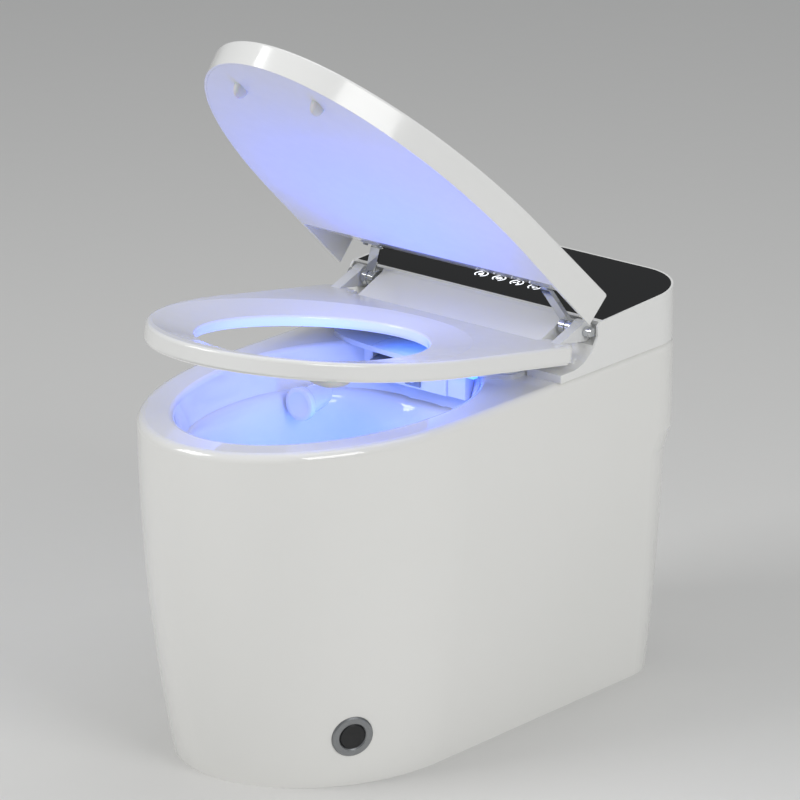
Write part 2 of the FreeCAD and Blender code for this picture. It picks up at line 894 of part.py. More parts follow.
def base_plate():
    """Plate over the bay with a tongue over the back of the bowl, slot and stand-offs."""
    rim = size("rim_height")
    thick = size("plate_thickness")
    half = size("plate_half_width")
    rear = size("plate_rear_y")
    corner = size("plate_corner")
    front = size("plate_front_y")
    edges = [
        line((-half, front, rim), (half, front, rim)),
        line((half, front, rim), (half, rear - corner, rim)),
        corner_arc(half - corner, rear - corner, rim, corner, 0),
        line((half - corner, rear, rim), (corner - half, rear, rim)),
        corner_arc(corner - half, rear - corner, rim, corner, 90),
        line((-half, rear - corner, rim), (-half, front, rim)),
    ]
    plate = prism(Part.Wire(edges), thick)
    reach = size("tongue_half_width")
    bend = size("tongue_corner")
    tip = size("tongue_front_y")
    tongue = plan(reach, bend, tip, front + bend, bend / 2, rim)
    plate = plate.fuse(prism(tongue, thick))
    over = size("overrun")
    slot = block((-size("plate_slot_left"), size("plate_slot_front_y"), rim - over),
                 (size("plate_slot_right"), size("plate_slot_rear_y"), rim + thick + over))
    lamp = block((size("light_x") - size("light_gap"), size("light_y") - size("light_gap"), rim - over),
                 (size("light_x") + size("light_length") + size("light_gap"),
                  size("light_y") + size("light_width") + size("light_gap"), rim + size("light_sink")))
    notch = block((-size("notch_half"), size("plate_slot_rear_y") - over, rim - over),
                  (size("notch_half"), size("notch_rear_y"), rim + thick + over))
    holes = [slot, notch, lamp]
    for x, y in screw_places():
        holes.append(Part.makeCylinder(size("screw_radius") + size("running_gap"), rim,
                                       Vector(x, y, rim / 2)))
    for x, y in hose_places():
        holes.append(Part.makeCylinder(size("hose_hole_radius"), rim, Vector(x, y, rim / 2)))
    plate = plate.cut(holes)
    stands = []
    for x, y in stand_places():
        stands.append(Part.makeCylinder(size("board_stand_radius"), size("board_stand"),
                                        Vector(x, y, rim + thick)))
    return plate.fuse(stands + cradles()).removeSplitter()


def cradles():
    """Two saddles that carry nozzle guide and dryer duct, and shields that close the channel beside them."""
    rim = size("rim_height")
    gap = size("cradle_gap")
    half = size("guide_half") + gap
    start = Vector(0, size("nozzle_y"), size("nozzle_z"))
    over = size("overrun")
    guide = block((-half, start.y - over, start.z - half),
                  (half, start.y + size("guide_length"), start.z + rim))
    tall = size("duct_half") + gap
    duct = block((-size("duct_left") - gap, start.y - over, start.z - tall),
                 (size("duct_width") - size("duct_left") + gap, start.y + size("guide_length"),
                  start.z + rim))
    shapes = []
    for y, z in ((size("cradle_front_y"), size("cradle_front_z")),
                 (size("cradle_rear_y"), size("cradle_rear_z"))):
        shapes.append(block((-size("cradle_left"), y, z),
                            (size("cradle_right"), y + size("cradle_depth"), rim)))
    edge = size("channel_half_width") - size("shield_gap")
    front = size("light_y") + size("light_width") + size("shield_gap")
    foot = size("cradle_front_z")
    for side, reach in ((-1, size("cradle_left")), (1, size("cradle_right"))):
        for inner, depth in ((reach - over, size("shield_depth")),
                             (edge - size("shield_depth"), size("shield_return"))):
            low, high = sorted((side * inner, side * edge))
            shapes.append(block((low, front, foot), (high, front + depth, rim)))
    for tool in (guide, duct):
        tool.Placement = slope_turn()
    return [shape.cut([guide, duct]) for shape in shapes]


def hose_places():
    """Where hoses come up through the plate."""
    return [(size("riser_x"), size("riser_y"))]


def stand_places():
    """Where the main board stands."""
    reach = size("board_length") / 2 - size("board_margin")
    low = size("board_y") + size("board_margin")
    high = size("board_y") + size("board_width") - size("board_margin")
    return [(side * reach, y) for side in (-1, 1) for y in (low, high)]


piece("base_plate", made("plate", base_plate()))


# Rear housing with hump, cheeks and hinge wells


def glass_z(y):
    """Height of the sloping top at a depth."""
    rise = (size("glass_rear_z") - size("glass_front_z")) / (size("rear_reach") - size("housing_front_y"))
    return size("glass_front_z") + rise * (y - size("housing_front_y"))


def housing_plan(inset, front):
    """Tall prism of the housing outline, pulled in by an inset, behind a front line."""
    half = size("body_width") / 2 - size("housing_inset") - inset
    rear = size("rear_reach") - size("housing_inset") - inset
    corner = size("rear_corner") - size("housing_inset") - inset
    low = size("rim_height") - size("overrun")
    edges = [
        line((-half, front, low), (half, front, low)),
        line((half, front, low), (half, rear - corner, low)),
        corner_arc(half - corner, rear - corner, low, corner, 0),
        line((half - corner, rear, low), (corner - half, rear, low)),
        corner_arc(corner - half, rear - corner, low, corner, 90),
        line((-half, rear - corner, low), (-half, front, low)),
    ]
    return prism(Part.Wire(edges), size("rim_height") / 2)


def sloped(front, rear, low, high):
    """Side profile that follows the sloping top between two offsets from it."""
    return [(front, glass_z(front) + low), (rear, glass_z(rear) + low),
            (rear, glass_z(rear) + high), (front, glass_z(front) + high)]


def ramp_profile():
    """Cheek seen from the side: foot, flat and the hollow curve up to the housing."""
    half = size("body_width") / 2 - size("housing_inset")
    rim = size("rim_height")
    flat = size("ramp_z")
    radius = size("ramp_radius")
    centre = Vector(-half, size("ramp_y"), flat + radius)
    cheek = size("cheek_y")
    end = centre.z - math.sqrt(radius * radius - (cheek - centre.y) ** 2)
    lean = math.atan2(end - centre.z, cheek - centre.y)
    middle = (lean - math.pi / 2) / 2
    halfway = Vector(-half, centre.y + radius * math.cos(middle), centre.z + radius * math.sin(middle))
    top = size("glass_front_z")
    chamfer = size("cheek_chamfer")
    back = size("housing_front_y") + size("housing_wall")
    corners = [(cheek, end), (cheek, top - chamfer), (cheek + chamfer, top), (back, top), (back, rim),
               (size("foot_y"), rim),
               (size("foot_y"), flat), (size("ramp_y"), flat)]
    points = [Vector(-half, y, z) for y, z in corners]
    edges = [Part.Arc(points[-1], halfway, points[0]).toShape()]
    edges += [Part.makeLine(first, last) for first, last in zip(points, points[1:])]
    return Part.Face(Part.Wire(edges)).extrude(Vector(2 * half, 0, 0))


def rear_housing():
    """Shell over the works: sloping top, hump between the hinges and cheeks beside the seat."""
    rim = size("rim_height")
    over = size("overrun")
    wall = size("housing_wall")
    front = size("housing_front_y")
    rear = size("rear_reach") + over
    half = size("body_width")
    back = slab([(front, rim), (front, glass_z(front)), (rear, glass_z(rear)), (rear, rim)], half)
    back = back.common(housing_plan(0.0, front))
    lip = rim + size("plate_thickness")
    crown = size("glass_front_z")
    hump_front = size("hump_front_y")
    hump = slab([(hump_front, lip), (hump_front, size("hump_front_z")), (front, crown),
                 (front + wall, crown), (front + wall, lip)],
                size("hump_half_width"))
    body = back.fuse([hump, ramp_profile()])
    shelf = -size("glass_thickness") - size("shelf_thickness")
    inner_front = front + wall
    room = slab([(inner_front, rim - over), (inner_front, glass_z(inner_front) + shelf),
                 (rear, glass_z(rear) + shelf), (rear, rim - over)], half)
    room = room.common(housing_plan(wall, inner_front))
    skin = size("hump_wall")
    inner_half = size("hump_half_width") - size("hump_end_wall")
    belly = slab([(hump_front + skin, rim - over), (hump_front + skin, size("hump_front_z") - skin),
                  (inner_front + over, crown + shelf), (inner_front + over, rim - over)], inner_half)
    tongue = slab([(size("foot_y") - over, rim - over), (size("foot_y") - over, lip),
                   (hump_front + 2 * skin, lip), (hump_front + 2 * skin, rim - over)],
                  size("tongue_half_width") + over)
    under = slab([(size("foot_y") + wall, rim - over), (size("foot_y") + wall, lip),
                  (inner_front + over, lip), (inner_front + over, rim - over)],
                 size("body_width") / 2 - wall - size("housing_inset"))
    tools = [room, belly, tongue, under]
    reach = size("body_width") / 2 - size("housing_inset") - wall
    pin_holes = []
    for side in (-1, 1):
        low, high = sorted((side * size("cheek_hollow_in"), side * reach))
        tools.append(slab([(size("cheek_hollow_y"), rim), (size("cheek_hollow_y"), lip),
                           (size("cheek_hollow_rear"), size("cheek_hollow_z")),
                           (inner_front + over, size("cheek_hollow_z")),
                           (inner_front + over, rim)], high, low))
        tools.append(Part.makeCylinder(size("well_radius"), size("well_out") - size("well_in"),
                                       Vector(side * size("well_in"), size("hinge_y"), size("hinge_z")),
                                       Vector(side, 0, 0)))
        pin_holes.append(Part.makeCylinder(size("pin_radius") + size("running_gap"), size("well_in"),
                                           Vector(0, size("hinge_y"), size("hinge_z")), Vector(side, 0, 0)))
    border = size("glass_border")
    recess = slab(sloped(front + border, rear, -size("glass_thickness"), size("glass_thickness")), half)
    tools.append(recess.common(housing_plan(border, front + border)))
    touch_low = size("touch_y") - border
    touch_high = size("touch_y") + size("touch_width") + border
    tools.append(slab(sloped(touch_low, touch_high, shelf - over, size("glass_thickness")),
                      size("touch_x") + size("touch_length") + border, size("touch_x") - border))
    cover = slab([(hump_front, rim), (hump_front, size("hump_front_z")), (front, crown),
                  (inner_front, crown), (inner_front, rim)], size("hump_half_width"))
    bosses = []
    for side in (-1, 1):
        boss = Part.makeCylinder(size("boss_radius"), inner_half - size("pin_in") + size("hump_end_wall") / 2,
                                 Vector(side * size("pin_in"), size("hinge_y"), size("hinge_z")),
                                 Vector(side, 0, 0))
        bosses.append(boss.common(cover))
    return body.cut(tools).fuse(bosses).cut(pin_holes).removeSplitter()


piece("rear_housing", made("housing", rear_housing()))


def control_glass():
    """Black panel set flush in the sloping top."""
    gap = size("glass_gap")
    inset = size("glass_border") + gap
    front = size("housing_front_y") + inset
    plate = slab(sloped(front, size("rear_reach"), -size("glass_thickness"), 0.0), size("body_width"))
    return plate.common(housing_plan(inset, front))


def touch_board():
    """Board that lies under the glass, in the window of the shelf."""
    gap = size("glass_gap")
    low = -size("glass_thickness") - gap
    return slab(sloped(size("touch_y"), size("touch_y") + size("touch_width"),
                       low - size("board_thickness"), low),
                size("touch_x") + size("touch_length"), size("touch_x"))


piece("control_glass", made("glass", control_glass()))
piece("touch_board", made("touch", touch_board()))


# Hinge pins

for hand, side in (("left", -1), ("right", 1)):
    pin_outline = [
        ("0", "0"),
        ("pin_radius", "0"),
        ("pin_radius", "pin_out - pin_in - pin_head_length"),
        ("pin_head_radius", "pin_out - pin_in - pin_head_length"),
        ("pin_head_radius", "pin_out - pin_in - pin_head_bevel"),
        ("pin_head_radius - pin_head_bevel", "pin_out - pin_in"),
        ("0", "pin_out - pin_in"),
    ]
    pin = turned("pin_" + hand, pin_outline)
    piece("hinge_pin_" + hand, locate(pin, f"{side} * pin_in", "hinge_y", "hinge_z", Vector(side, 0, 0)))


# Seat, drawn closed


def seat_outline(inset, z):
    """Seat seen from above: elliptic nose, ears beside the hump."""
    half = size("seat_half_width") - inset
    nose = size("seat_nose") - inset
    hinge = size("hinge_y")
    middle = hinge - size("seat_front") + size("seat_nose")
    ear = hinge - size("seat_ear") - inset
    rear = hinge - size("seat_rear") - inset
    inner = size("seat_ear_in") + inset
    step = size("seat_rear_half") + inset
    corner = size("seat_ear_corner")
    edges = [
        half_ellipse(half, nose, middle, z),
        line((half, middle, z), (half, ear - corner, z)),
        corner_arc(half - corner, ear - corner, z, corner, 0),
        line((half - corner, ear, z), (inner, ear, z)),
        line((inner, ear, z), (step, rear, z)),
        line((step, rear, z), (-step, rear, z)),
        line((-step, rear, z), (-inner, ear, z)),
        line((-inner, ear, z), (corner - half, ear, z)),
        corner_arc(corner - half, ear - corner, z, corner, 90),
        line((-half, ear - corner, z), (-half, middle, z)),
    ]
    return Part.Wire(edges)


def seat_ring(inset, low, high):
    """Ring between two heights, pulled in from its outer and inner edges."""
    hinge = size("hinge_y")
    middle = size("hole_middle")
    hole = egg(size("hole_half_width") + inset, size("hole_front") - middle + inset,
               middle - size("hole_rear") + inset, hinge - middle, low)
    return prism(seat_outline(inset, low), high - low).cut(prism(hole, high - low))


def seat_dish(lower):
    """Room over the hollowed upper face, which falls from the seat's edge to its opening."""
    hinge = size("hinge_y")
    middle = size("hole_middle")
    top = size("hinge_z") - size("seat_drop") - lower
    wires = []
    for share in DISH_SHARES:
        room = size("seat_half_width") - size("dish_margin") - size("hole_half_width")
        half = size("hole_half_width") + room * share
        front = size("hole_front") + (size("seat_front") - size("dish_margin") - size("hole_front")) * share
        rear = size("hole_rear") + (size("dish_rear") - size("hole_rear")) * share
        wires.append(egg(half, front - middle, middle - rear, hinge - middle,
                         top - size("dish_depth") * (1 - share)))
    return loft(wires, ruled=True)


def seat_top():
    """Upper shell with a hollowed face and rounded edges, hollow from below."""
    shell = size("seat_shell")
    top = size("hinge_z") - size("seat_drop")
    low = top - size("seat_thickness") + size("seat_base_thickness")
    ring = seat_ring(0.0, low, top)
    ring = ring.makeFillet(size("seat_round"), edges_at(ring, top)).cut(seat_dish(0.0))
    ring = ring.makeFillet(size("hole_round"), edges_at(ring, top - size("dish_depth")))
    return ring.cut(seat_ring(shell, low, top - shell).cut(seat_dish(shell)))


def seat_heater():
    """Foil that follows the roof of the shell's hollow."""
    roof = size("seat_shell")
    sheet = roof + size("heater_thickness")
    margin = size("heater_margin")
    top = size("hinge_z") - size("seat_drop")
    low = top - size("seat_thickness") + size("seat_base_thickness")
    filled = seat_ring(roof + margin, low, top - roof).cut(seat_dish(roof))
    return filled.cut(seat_ring(roof + margin / 2, low - size("overrun"), top - sheet).cut(seat_dish(sheet)))


def seat_at(node, shape):
    """Turn a seat piece about the hinge to its rest angle."""
    obj = made(node + "_closed", shape)
    obj.Placement = hinge_turn(size("seat_angle"))
    return piece(node, obj)


seat_top_z = size("hinge_z") - size("seat_drop")
seat_low_z = seat_top_z - size("seat_thickness")
seat_at("seat_top_shell", seat_top())
seat_at("seat_base", seat_ring(size("seat_base_inset"), seat_low_z, seat_low_z + size("seat_base_thickness")))
seat_at("seat_heater", seat_heater())


def seat_buffers():
    """Four oblong pads that meet the rim."""
    height = seat_low_z - size("rim_height") - size("buffer_gap")
    width = size("seat_buffer_width")
    long = size("seat_buffer_length")
    pads = []
    places = ((size("seat_buffer_x"), size("seat_buffer_front"), size("seat_buffer_turn")),
              (size("seat_buffer_rear_x"), size("seat_buffer_rear"), 0.0))
    for side in (-1, 1):
        for x, forward, turn in places:
            pad = Part.makeBox(width, long, height, Vector(-width / 2, -long / 2, 0))
            pad = pad.makeFillet(width / 3,
                                 [edge for edge in pad.Edges if edge.BoundBox.ZLength > height / 2])
            pad.Placement = FreeCAD.Placement(Vector(side * x, size("hinge_y") - forward,
                                                     seat_low_z - height),
                                              FreeCAD.Rotation(Vector(0, 0, 1), -side * turn))
            pads.append(pad)
    return Part.makeCompound(pads)


seat_at("seat_buffers", seat_buffers())


def seat_lug(side):
    """Eye on the hinge pin with a tapering foot on the seat."""
    radius = size("lug_radius")
    hinge = Vector(0, size("hinge_y"), size("hinge_z"))
    low, high = sorted((side * size("lug_in"), side * size("lug_out")))
    drop = size("seat_drop")
    foot = slab([(hinge.y, hinge.z + radius), (hinge.y, hinge.z - drop),
                 (hinge.y - size("lug_foot_front"), hinge.z - drop)], high, low)
    start = Vector(low, hinge.y, hinge.z)
    eye = Part.makeCylinder(radius, high - low, start, Vector(1, 0, 0))
    bore = Part.makeCylinder(size("pin_radius") + size("running_gap"), high - low, start, Vector(1, 0, 0))
    return foot.fuse(eye).cut(bore).removeSplitter()


for hand, side in (("left", -1), ("right", 1)):
    seat_at("seat_hinge_lug_" + hand, seat_lug(side))


# Lid, drawn closed

lid_low_z = size("hinge_z") + size("lid_rise")
lid_top_z = lid_low_z + size("lid_thickness")


def lid_outline(inset, z, rear=None):
    """Lid seen from above: elliptic nose, straight sides, square rear."""
    half = size("lid_half_width") - inset
    nose = size("lid_nose") - inset
    hinge = size("hinge_y")
    middle = hinge - size("lid_front") + size("lid_nose")
    back = hinge - (size("lid_rear") + max(inset, 0.0) if rear is None else rear)
    edges = [
        half_ellipse(half, nose, middle, z),
        line((half, middle, z), (half, back, z)),
        line((half, back, z), (-half, back, z)),
        line((-half, back, z), (-half, middle, z)),
    ]
    return Part.Wire(edges)


def relief_z(forward):
    """Height of the slanted roof of the rear relief."""
    share = (size("relief_front") - forward) / (size("relief_front") - size("lid_rear"))
    return lid_low_z + size("relief_depth") * share


def lid_relief():
    """Wedge cut from below at the rear, with slanting sides, where the hinge arms reach in."""
    hinge = size("hinge_y")
    over = size("overrun")
    front = hinge - size("relief_front")
    rear = hinge - size("lid_rear") + over
    wedge = slab([(front, lid_low_z - over), (front, lid_low_z), (rear, relief_z(size("lid_rear") - over)),
                  (rear, lid_low_z - over)],
                 size("body_width"))
    wide = size("lid_half_width") - size("ear_tip")
    narrow = size("relief_half")
    slant = (wide - narrow) / (size("relief_front") - size("lid_rear"))
    far = wide + slant * over
    corners = [Vector(x, y, lid_low_z - over)
               for x, y in ((-far, rear), (far, rear), (narrow, front), (-narrow, front))]
    return wedge.common(prism(Part.makePolygon(corners + corners[:1]), size("lid_thickness")))


def lid_top_at(forward):
    """Height of the sloping top face."""
    share = (forward - size("lid_rear")) / (size("lid_front") - size("lid_rear"))
    return lid_top_z - (size("lid_thickness") - size("lid_nose_thickness")) * share


def lid_above(depth):
    """Everything higher than a given depth under the top face."""
    hinge = size("hinge_y")
    rear = size("lid_rear") - size("overrun")
    front = size("lid_front") + 2 * size("lid_flare")
    tall = lid_top_at(rear) + size("lid_thickness")
    return slab([(hinge - rear, lid_top_at(rear) - depth), (hinge - front, lid_top_at(front) - depth),
                 (hinge - front, tall),
                 (hinge - rear, tall)], size("body_width"))


def lid_shell():
    """Outer cover with a straight band, a top that falls to the nose and the rear relief."""
    body = loft([lid_outline(0.0, lid_low_z), lid_outline(-size("lid_flare"), lid_top_z)], ruled=True)
    body = body.cut(lid_above(0.0))
    touch = TOLERANCE_SHARE * size("rim_height")
    brim = [edge for edge in body.Edges
            if all(abs(end.Z - lid_top_at(size("hinge_y") - end.Y)) < touch for end in edge.Vertexes)]
    body = body.makeFillet(size("lid_round"), brim)
    lip = size("lid_lip")
    seat = prism(lid_outline(lip, lid_low_z), size("liner_thickness"))
    room = prism(lid_outline(lip + size("liner_ledge"), lid_low_z, size("lid_hollow_rear")),
                 size("lid_thickness"))
    return body.cut([seat, room.cut(lid_above(size("lid_skin"))), lid_relief()])


def lid_liner():
    """Flat inner panel of the lid."""
    plate = prism(lid_outline(size("lid_lip") + size("liner_gap"), lid_low_z), size("liner_thickness"))
    return plate.cut(lid_relief())


def lid_at(node, shape):
    """Turn a lid piece about the hinge to its rest angle."""
    obj = made(node + "_closed", shape)
    obj.Placement = hinge_turn(size("lid_angle"))
    return piece(node, obj)


lid_at("lid_shell", lid_shell())
lid_at("lid_liner", lid_liner())


def lid_buffers():
    """Two pads that meet the seat."""
    height = size("lid_rise") + size("seat_drop") - size("buffer_gap")
    length = size("lid_buffer_length")
    width = size("lid_buffer_width")
    pads = []
    for side in (-1, 1):
        corner = Vector(side * size("lid_buffer_x") - width / 2,
                        size("hinge_y") - size("lid_buffer_front") - length / 2,
                        lid_low_z - height)
        pad = Part.makeBox(width, length, height, corner)
        pads.append(pad.makeFillet(width / 3,
                                   [edge for edge in pad.Edges if edge.BoundBox.ZLength > height / 2]))
    return Part.makeCompound(pads)


lid_at("lid_buffers", lid_buffers())


def lid_arm(side):
    """Bright barrel on the pin with a strap that leans inward to a pad on the relief roof."""
    hinge = Vector(0, size("hinge_y"), size("hinge_z"))
    low, high = sorted((side * size("barrel_in"), side * size("barrel_out")))
    start = Vector(low, hinge.y, hinge.z)
    barrel = Part.makeCylinder(size("barrel_radius"), high - low, start, Vector(1, 0, 0))
    groove_start = start + Vector((high - low - size("barrel_groove_width")) / 2, 0, 0)
    ring = Part.makeCylinder(size("well_radius"), size("barrel_groove_width"), groove_start, Vector(1, 0, 0))
    ring = ring.cut(Part.makeCylinder(size("barrel_radius") - size("barrel_groove"),
                                      size("barrel_groove_width"), groove_start, Vector(1, 0, 0)))
    middle = (low + high) / 2
    end = size("arm_end_front")
    pad_thick = size("arm_pad_thickness")
    thick = size("arm_thickness")

    def strap_end(x, forward, z):
        corners = [(-1, -1), (1, -1), (1, 1), (-1, 1)]
        points = [Vector(x + a * size("arm_width") / 2, hinge.y - forward, z + b * thick / 2)
                  for a, b in corners]
        return Part.makePolygon(points + points[:1])

    foot = middle - side * size("arm_end_in")
    strap = loft([strap_end(middle, size("pin_radius") + thick / 2, hinge.z + thick / 2),
                  strap_end(foot, end, relief_z(end) - pad_thick)], ruled=True)
    reach = size("arm_pad_length") / 2
    pad = slab([(hinge.y - end + reach, relief_z(end - reach) - pad_thick),
                (hinge.y - end + reach, relief_z(end - reach)),
                (hinge.y - end - reach, relief_z(end + reach)),
                (hinge.y - end - reach, relief_z(end + reach) - pad_thick)],
               foot + size("arm_width"), foot - size("arm_width"))
    bore = Part.makeCylinder(size("pin_radius") + size("running_gap"), high - low, start, Vector(1, 0, 0))
    return barrel.cut(ring).fuse([strap, pad]).cut([bore, lid_roof()]).removeSplitter()


def lid_roof():
    """Everything above the slanted roof of the relief."""
    hinge = size("hinge_y")
    near = size("lid_rear") - size("barrel_radius")
    far = size("relief_front")
    tall = lid_top_z + size("relief_depth")
    return slab([(hinge - near, relief_z(near)), (hinge - far, relief_z(far)), (hinge - far, tall),
                 (hinge - near, tall)], size("body_width"))


for hand, side in (("left", -1), ("right", 1)):
    lid_at("lid_hinge_arm_" + hand, lid_arm(side))


def arm_screws():
    """Screw heads under the pads of both arms, square to the relief roof."""
    reach = size("arm_pad_length") / 2
    end = size("arm_end_front") + reach / 2
    lean = math.atan2(size("relief_depth"), size("relief_front") - size("lid_rear"))
    down = Vector(0, math.sin(lean), -math.cos(lean))
    heads = []
    for side in (-1, 1):
        foot = side * ((size("barrel_in") + size("barrel_out")) / 2 - size("arm_end_in"))
        for step in (-1, 1):
            spot = Vector(foot + step * (size("arm_width") - size("arm_screw_radius")), size("hinge_y") - end,
                          relief_z(end) - size("arm_pad_thickness"))
            heads.append(Part.makeCylinder(size("arm_screw_radius"), size("arm_screw_height"), spot, down))
    return Part.makeCompound(heads)


lid_at("lid_arm_screws", arm_screws())


# Wash nozzle, drawn level and then tipped

nozzle_at = Vector(0, size("nozzle_y"), size("nozzle_z"))
pitch_x = size("wand_radius") + size("rack_half") + size("tooth_module") / 2
pinion_radius = size("tooth_module") * PINION_TEETH / 2
tooth_pitch = math.pi * size("tooth_module")


def along(distance, x=0.0, z=0.0):
    """A point by its distance up the nozzle slope, before tipping."""
    return nozzle_at + Vector(x, distance, z)


def sloped_at(node, shape):
    """Tip a nozzle piece to its slope."""
    obj = made(node + "_level", shape)
    obj.Placement = slope_turn()
    return piece(node, obj)


def span(start, end):
    """A block between two points on the level nozzle."""
    return block(tuple(start), tuple(end))


def nozzle_guide():
    """Square tube with a round bore and a side slot for the rack."""
    half = size("guide_half")
    length = size("guide_length")
    slot = size("guide_slot_half")
    over = size("overrun")
    body = span(along(0.0, -half, -half), along(length, half, half))
    bore = Part.makeCylinder(size("wand_radius") + size("running_gap"), length + 2 * over, along(-over),
                             Vector(0, 1, 0))
    window = span(along(size("guide_slot_front"), 0.0, -slot), along(length + over, half + over, slot))
    return body.cut([bore, window])


def nozzle_wand():
    """Round wand with a flat for the rack and a hose socket at its rear."""
    start = size("wand_start")
    length = size("wand_length")
    radius = size("wand_radius")
    rack = size("rack_front")
    body = Part.makeCylinder(radius, length, along(start), Vector(0, 1, 0))
    flat = span(along(rack, radius - size("rack_inset"), -radius),
                along(rack + size("rack_length"), 2 * radius, radius))
    socket = Part.makeCylinder(size("hose_bore"), start, along(length), Vector(0, 1, 0))
    return body.cut([flat, socket])


def nozzle_tip():
    """Rounded end with three spray holes."""
    reach = size("tip_reach")
    length = reach + size("wand_start")
    radius = size("wand_radius")
    body = Part.makeCylinder(radius, length, along(-reach), Vector(0, 1, 0))
    front = [edge for edge in body.Edges if edge.BoundBox.YMax < nozzle_at.y]
    body = body.makeFillet(size("tip_round"), front)
    holes = []
    for step in range(3):
        spot = along(size("tip_round") + step * size("spray_pitch"))
        holes.append(Part.makeCylinder(size("spray_radius"), radius, spot, Vector(0, 0, 1)))
    return body.cut(holes)


def nozzle_rack():
    """Toothed bar on the side of the wand."""
    module = size("tooth_module")
    thick, tip, root = TOOTH_SHARES
    low = size("rack_front")
    high = low + size("rack_length")
    base = pitch_x - root * module
    inner = size("wand_radius") - size("rack_inset")
    corners = [(inner, low), (base, low)]
    count = int(size("rack_length") / tooth_pitch)
    first = math.ceil((low - size("pinion_place")) / tooth_pitch + thick)
    for step in range(first, first + count - 1):
        centre = size("pinion_place") + step * tooth_pitch
        wide = (thick + (thick - tip) * root) * tooth_pitch / 2
        corners += [(base, centre - wide), (pitch_x + module, centre - tip * tooth_pitch / 2),
                    (pitch_x + module, centre + tip * tooth_pitch / 2), (base, centre + wide)]
    corners += [(base, high), (inner, high)]
    half = size("rack_half")
    points = [along(y, x, -half) for x, y in corners]
    return Part.Face(Part.makePolygon(points + points[:1])).extrude(Vector(0, 0, 2 * half))


def nozzle_pinion():
    """Spur pinion in mesh with the rack."""
    module = size("tooth_module")
    thick, tip, root = TOOTH_SHARES
    step = math.tau / PINION_TEETH
    half = size("pinion_half")
    corners = []
    for tooth in range(PINION_TEETH):
        middle = (tooth + 1 / 2) * step
        wide = (thick + (thick - tip) * root) * step / 2
        narrow = tip * step / 2
        for radius, angle in ((pinion_radius - root * module, middle - wide),
                              (pinion_radius + module, middle - narrow),
                              (pinion_radius + module, middle + narrow),
                              (pinion_radius - root * module, middle + wide)):
            corners.append((pitch_x + pinion_radius + radius * math.cos(angle), radius * math.sin(angle)))
    points = [along(size("pinion_place") + y, x, -half) for x, y in corners]
    body = Part.Face(Part.makePolygon(points + points[:1])).extrude(Vector(0, 0, 2 * half))
    bore = Part.makeCylinder(size("pinion_bore") + size("running_gap"), 2 * half,
                             along(size("pinion_place"), pitch_x + pinion_radius, -half), Vector(0, 0, 1))
    return body.cut(bore)


def nozzle_motor():
    """Flat geared motor with its shaft off centre."""
    place = size("pinion_place")
    axis_x = pitch_x + pinion_radius
    floor = size("motor_floor")
    can = Part.makeCylinder(size("motor_radius"), size("motor_height"),
                            along(place, axis_x + size("motor_offset"), floor))
    low = -size("motor_shaft_low")
    shaft = Part.makeCylinder(size("pinion_bore"), floor - low, along(place, axis_x, low))
    return can.fuse(shaft)


for node, build in (("nozzle_guide", nozzle_guide), ("nozzle_wand", nozzle_wand), ("nozzle_tip", nozzle_tip),
                    ("nozzle_rack", nozzle_rack), ("nozzle_pinion", nozzle_pinion),
                    ("nozzle_motor", nozzle_motor)):
    sloped_at(node, build())


# Warm-air dryer


def dryer_duct():
    """Flat duct that runs beside the nozzle guide."""
    left = -size("duct_left")
    right = left + size("duct_width")
    half = size("duct_half")
    wall = size("duct_wall")
    over = size("overrun")
    length = size("duct_length")
    outer = span(along(0.0, left, -half), along(length, right, half))
    inner = span(along(-over, left + wall, wall - half), along(length + over, right - wall, half - wall))
    return outer.cut(inner)


def dryer_flap():
    """Thin flap that hangs in front of the duct and swings outward about its top edge."""
    left = -size("duct_left")
    gap = size("flap_gap")
    thick = size("flap_thickness")
    half = size("duct_half")
    plate = span(along(-gap - thick, left + gap, -half),
                 along(-gap, left + size("duct_width") - gap, half - thick / 2))
    roll = Part.makeCylinder(thick / 2, size("duct_width") - 2 * gap,
                             along(-gap - thick / 2, left + gap, half - thick / 2), Vector(1, 0, 0))
    return plate.fuse(roll)


sloped_at("dryer_duct", dryer_duct())
sloped_at("dryer_flap", dryer_flap())


def fan_case(name, x, y, radius, height, inlet):
    """Round fan case with its inlet on top and a fixed shaft inside."""
    floor = "rim_height + plate_thickness"
    drum = rod(name + "_drum", radius, height, x, y, floor)
    hollow = rod(name + "_hollow", f"{radius} - blower_wall", f"{height} - 2 * blower_wall", x, y,
                 f"{floor} + blower_wall")
    eye = rod(name + "_eye", inlet, height, x, y, f"{floor} + blower_wall")
    shaft = rod(name + "_shaft", "fan_shaft", f"{height} - 2 * blower_wall", x, y,
                f"{floor} + blower_wall / 2")
    return drum, hollow, eye, shaft


drum, hollow, eye, shaft = fan_case("dryer", "blower_x", "blower_y", "blower_radius", "blower_height",
                                    "blower_inlet")
snout = box("dryer_snout", "duct_width", "blower_y - blower_snout_y", "blower_snout_height",
            "-duct_left", "blower_snout_y", "rim_height + plate_thickness")
snout_room = box("dryer_snout_room", "duct_width - 2 * duct_wall", "blower_y - blower_snout_y",
                 "blower_snout_height - 2 * duct_wall",
                 "duct_wall - duct_left", "blower_snout_y - overrun",
                 "rim_height + plate_thickness + duct_wall")
dryer_body = cut("dryer_body", joined("dryer_outer", drum, snout), hollow, eye, snout_room)
piece("dryer_case", joined("dryer_case", dryer_body, shaft))
drum, hollow, eye, shaft = fan_case("deodoriser", "deodoriser_x", "deodoriser_y", "deodoriser_radius",
                                    "deodoriser_height",
                                    "deodoriser_inlet")
piece("deodoriser_case", joined("deodoriser_case", cut("deodoriser_body", drum, hollow, eye), shaft))


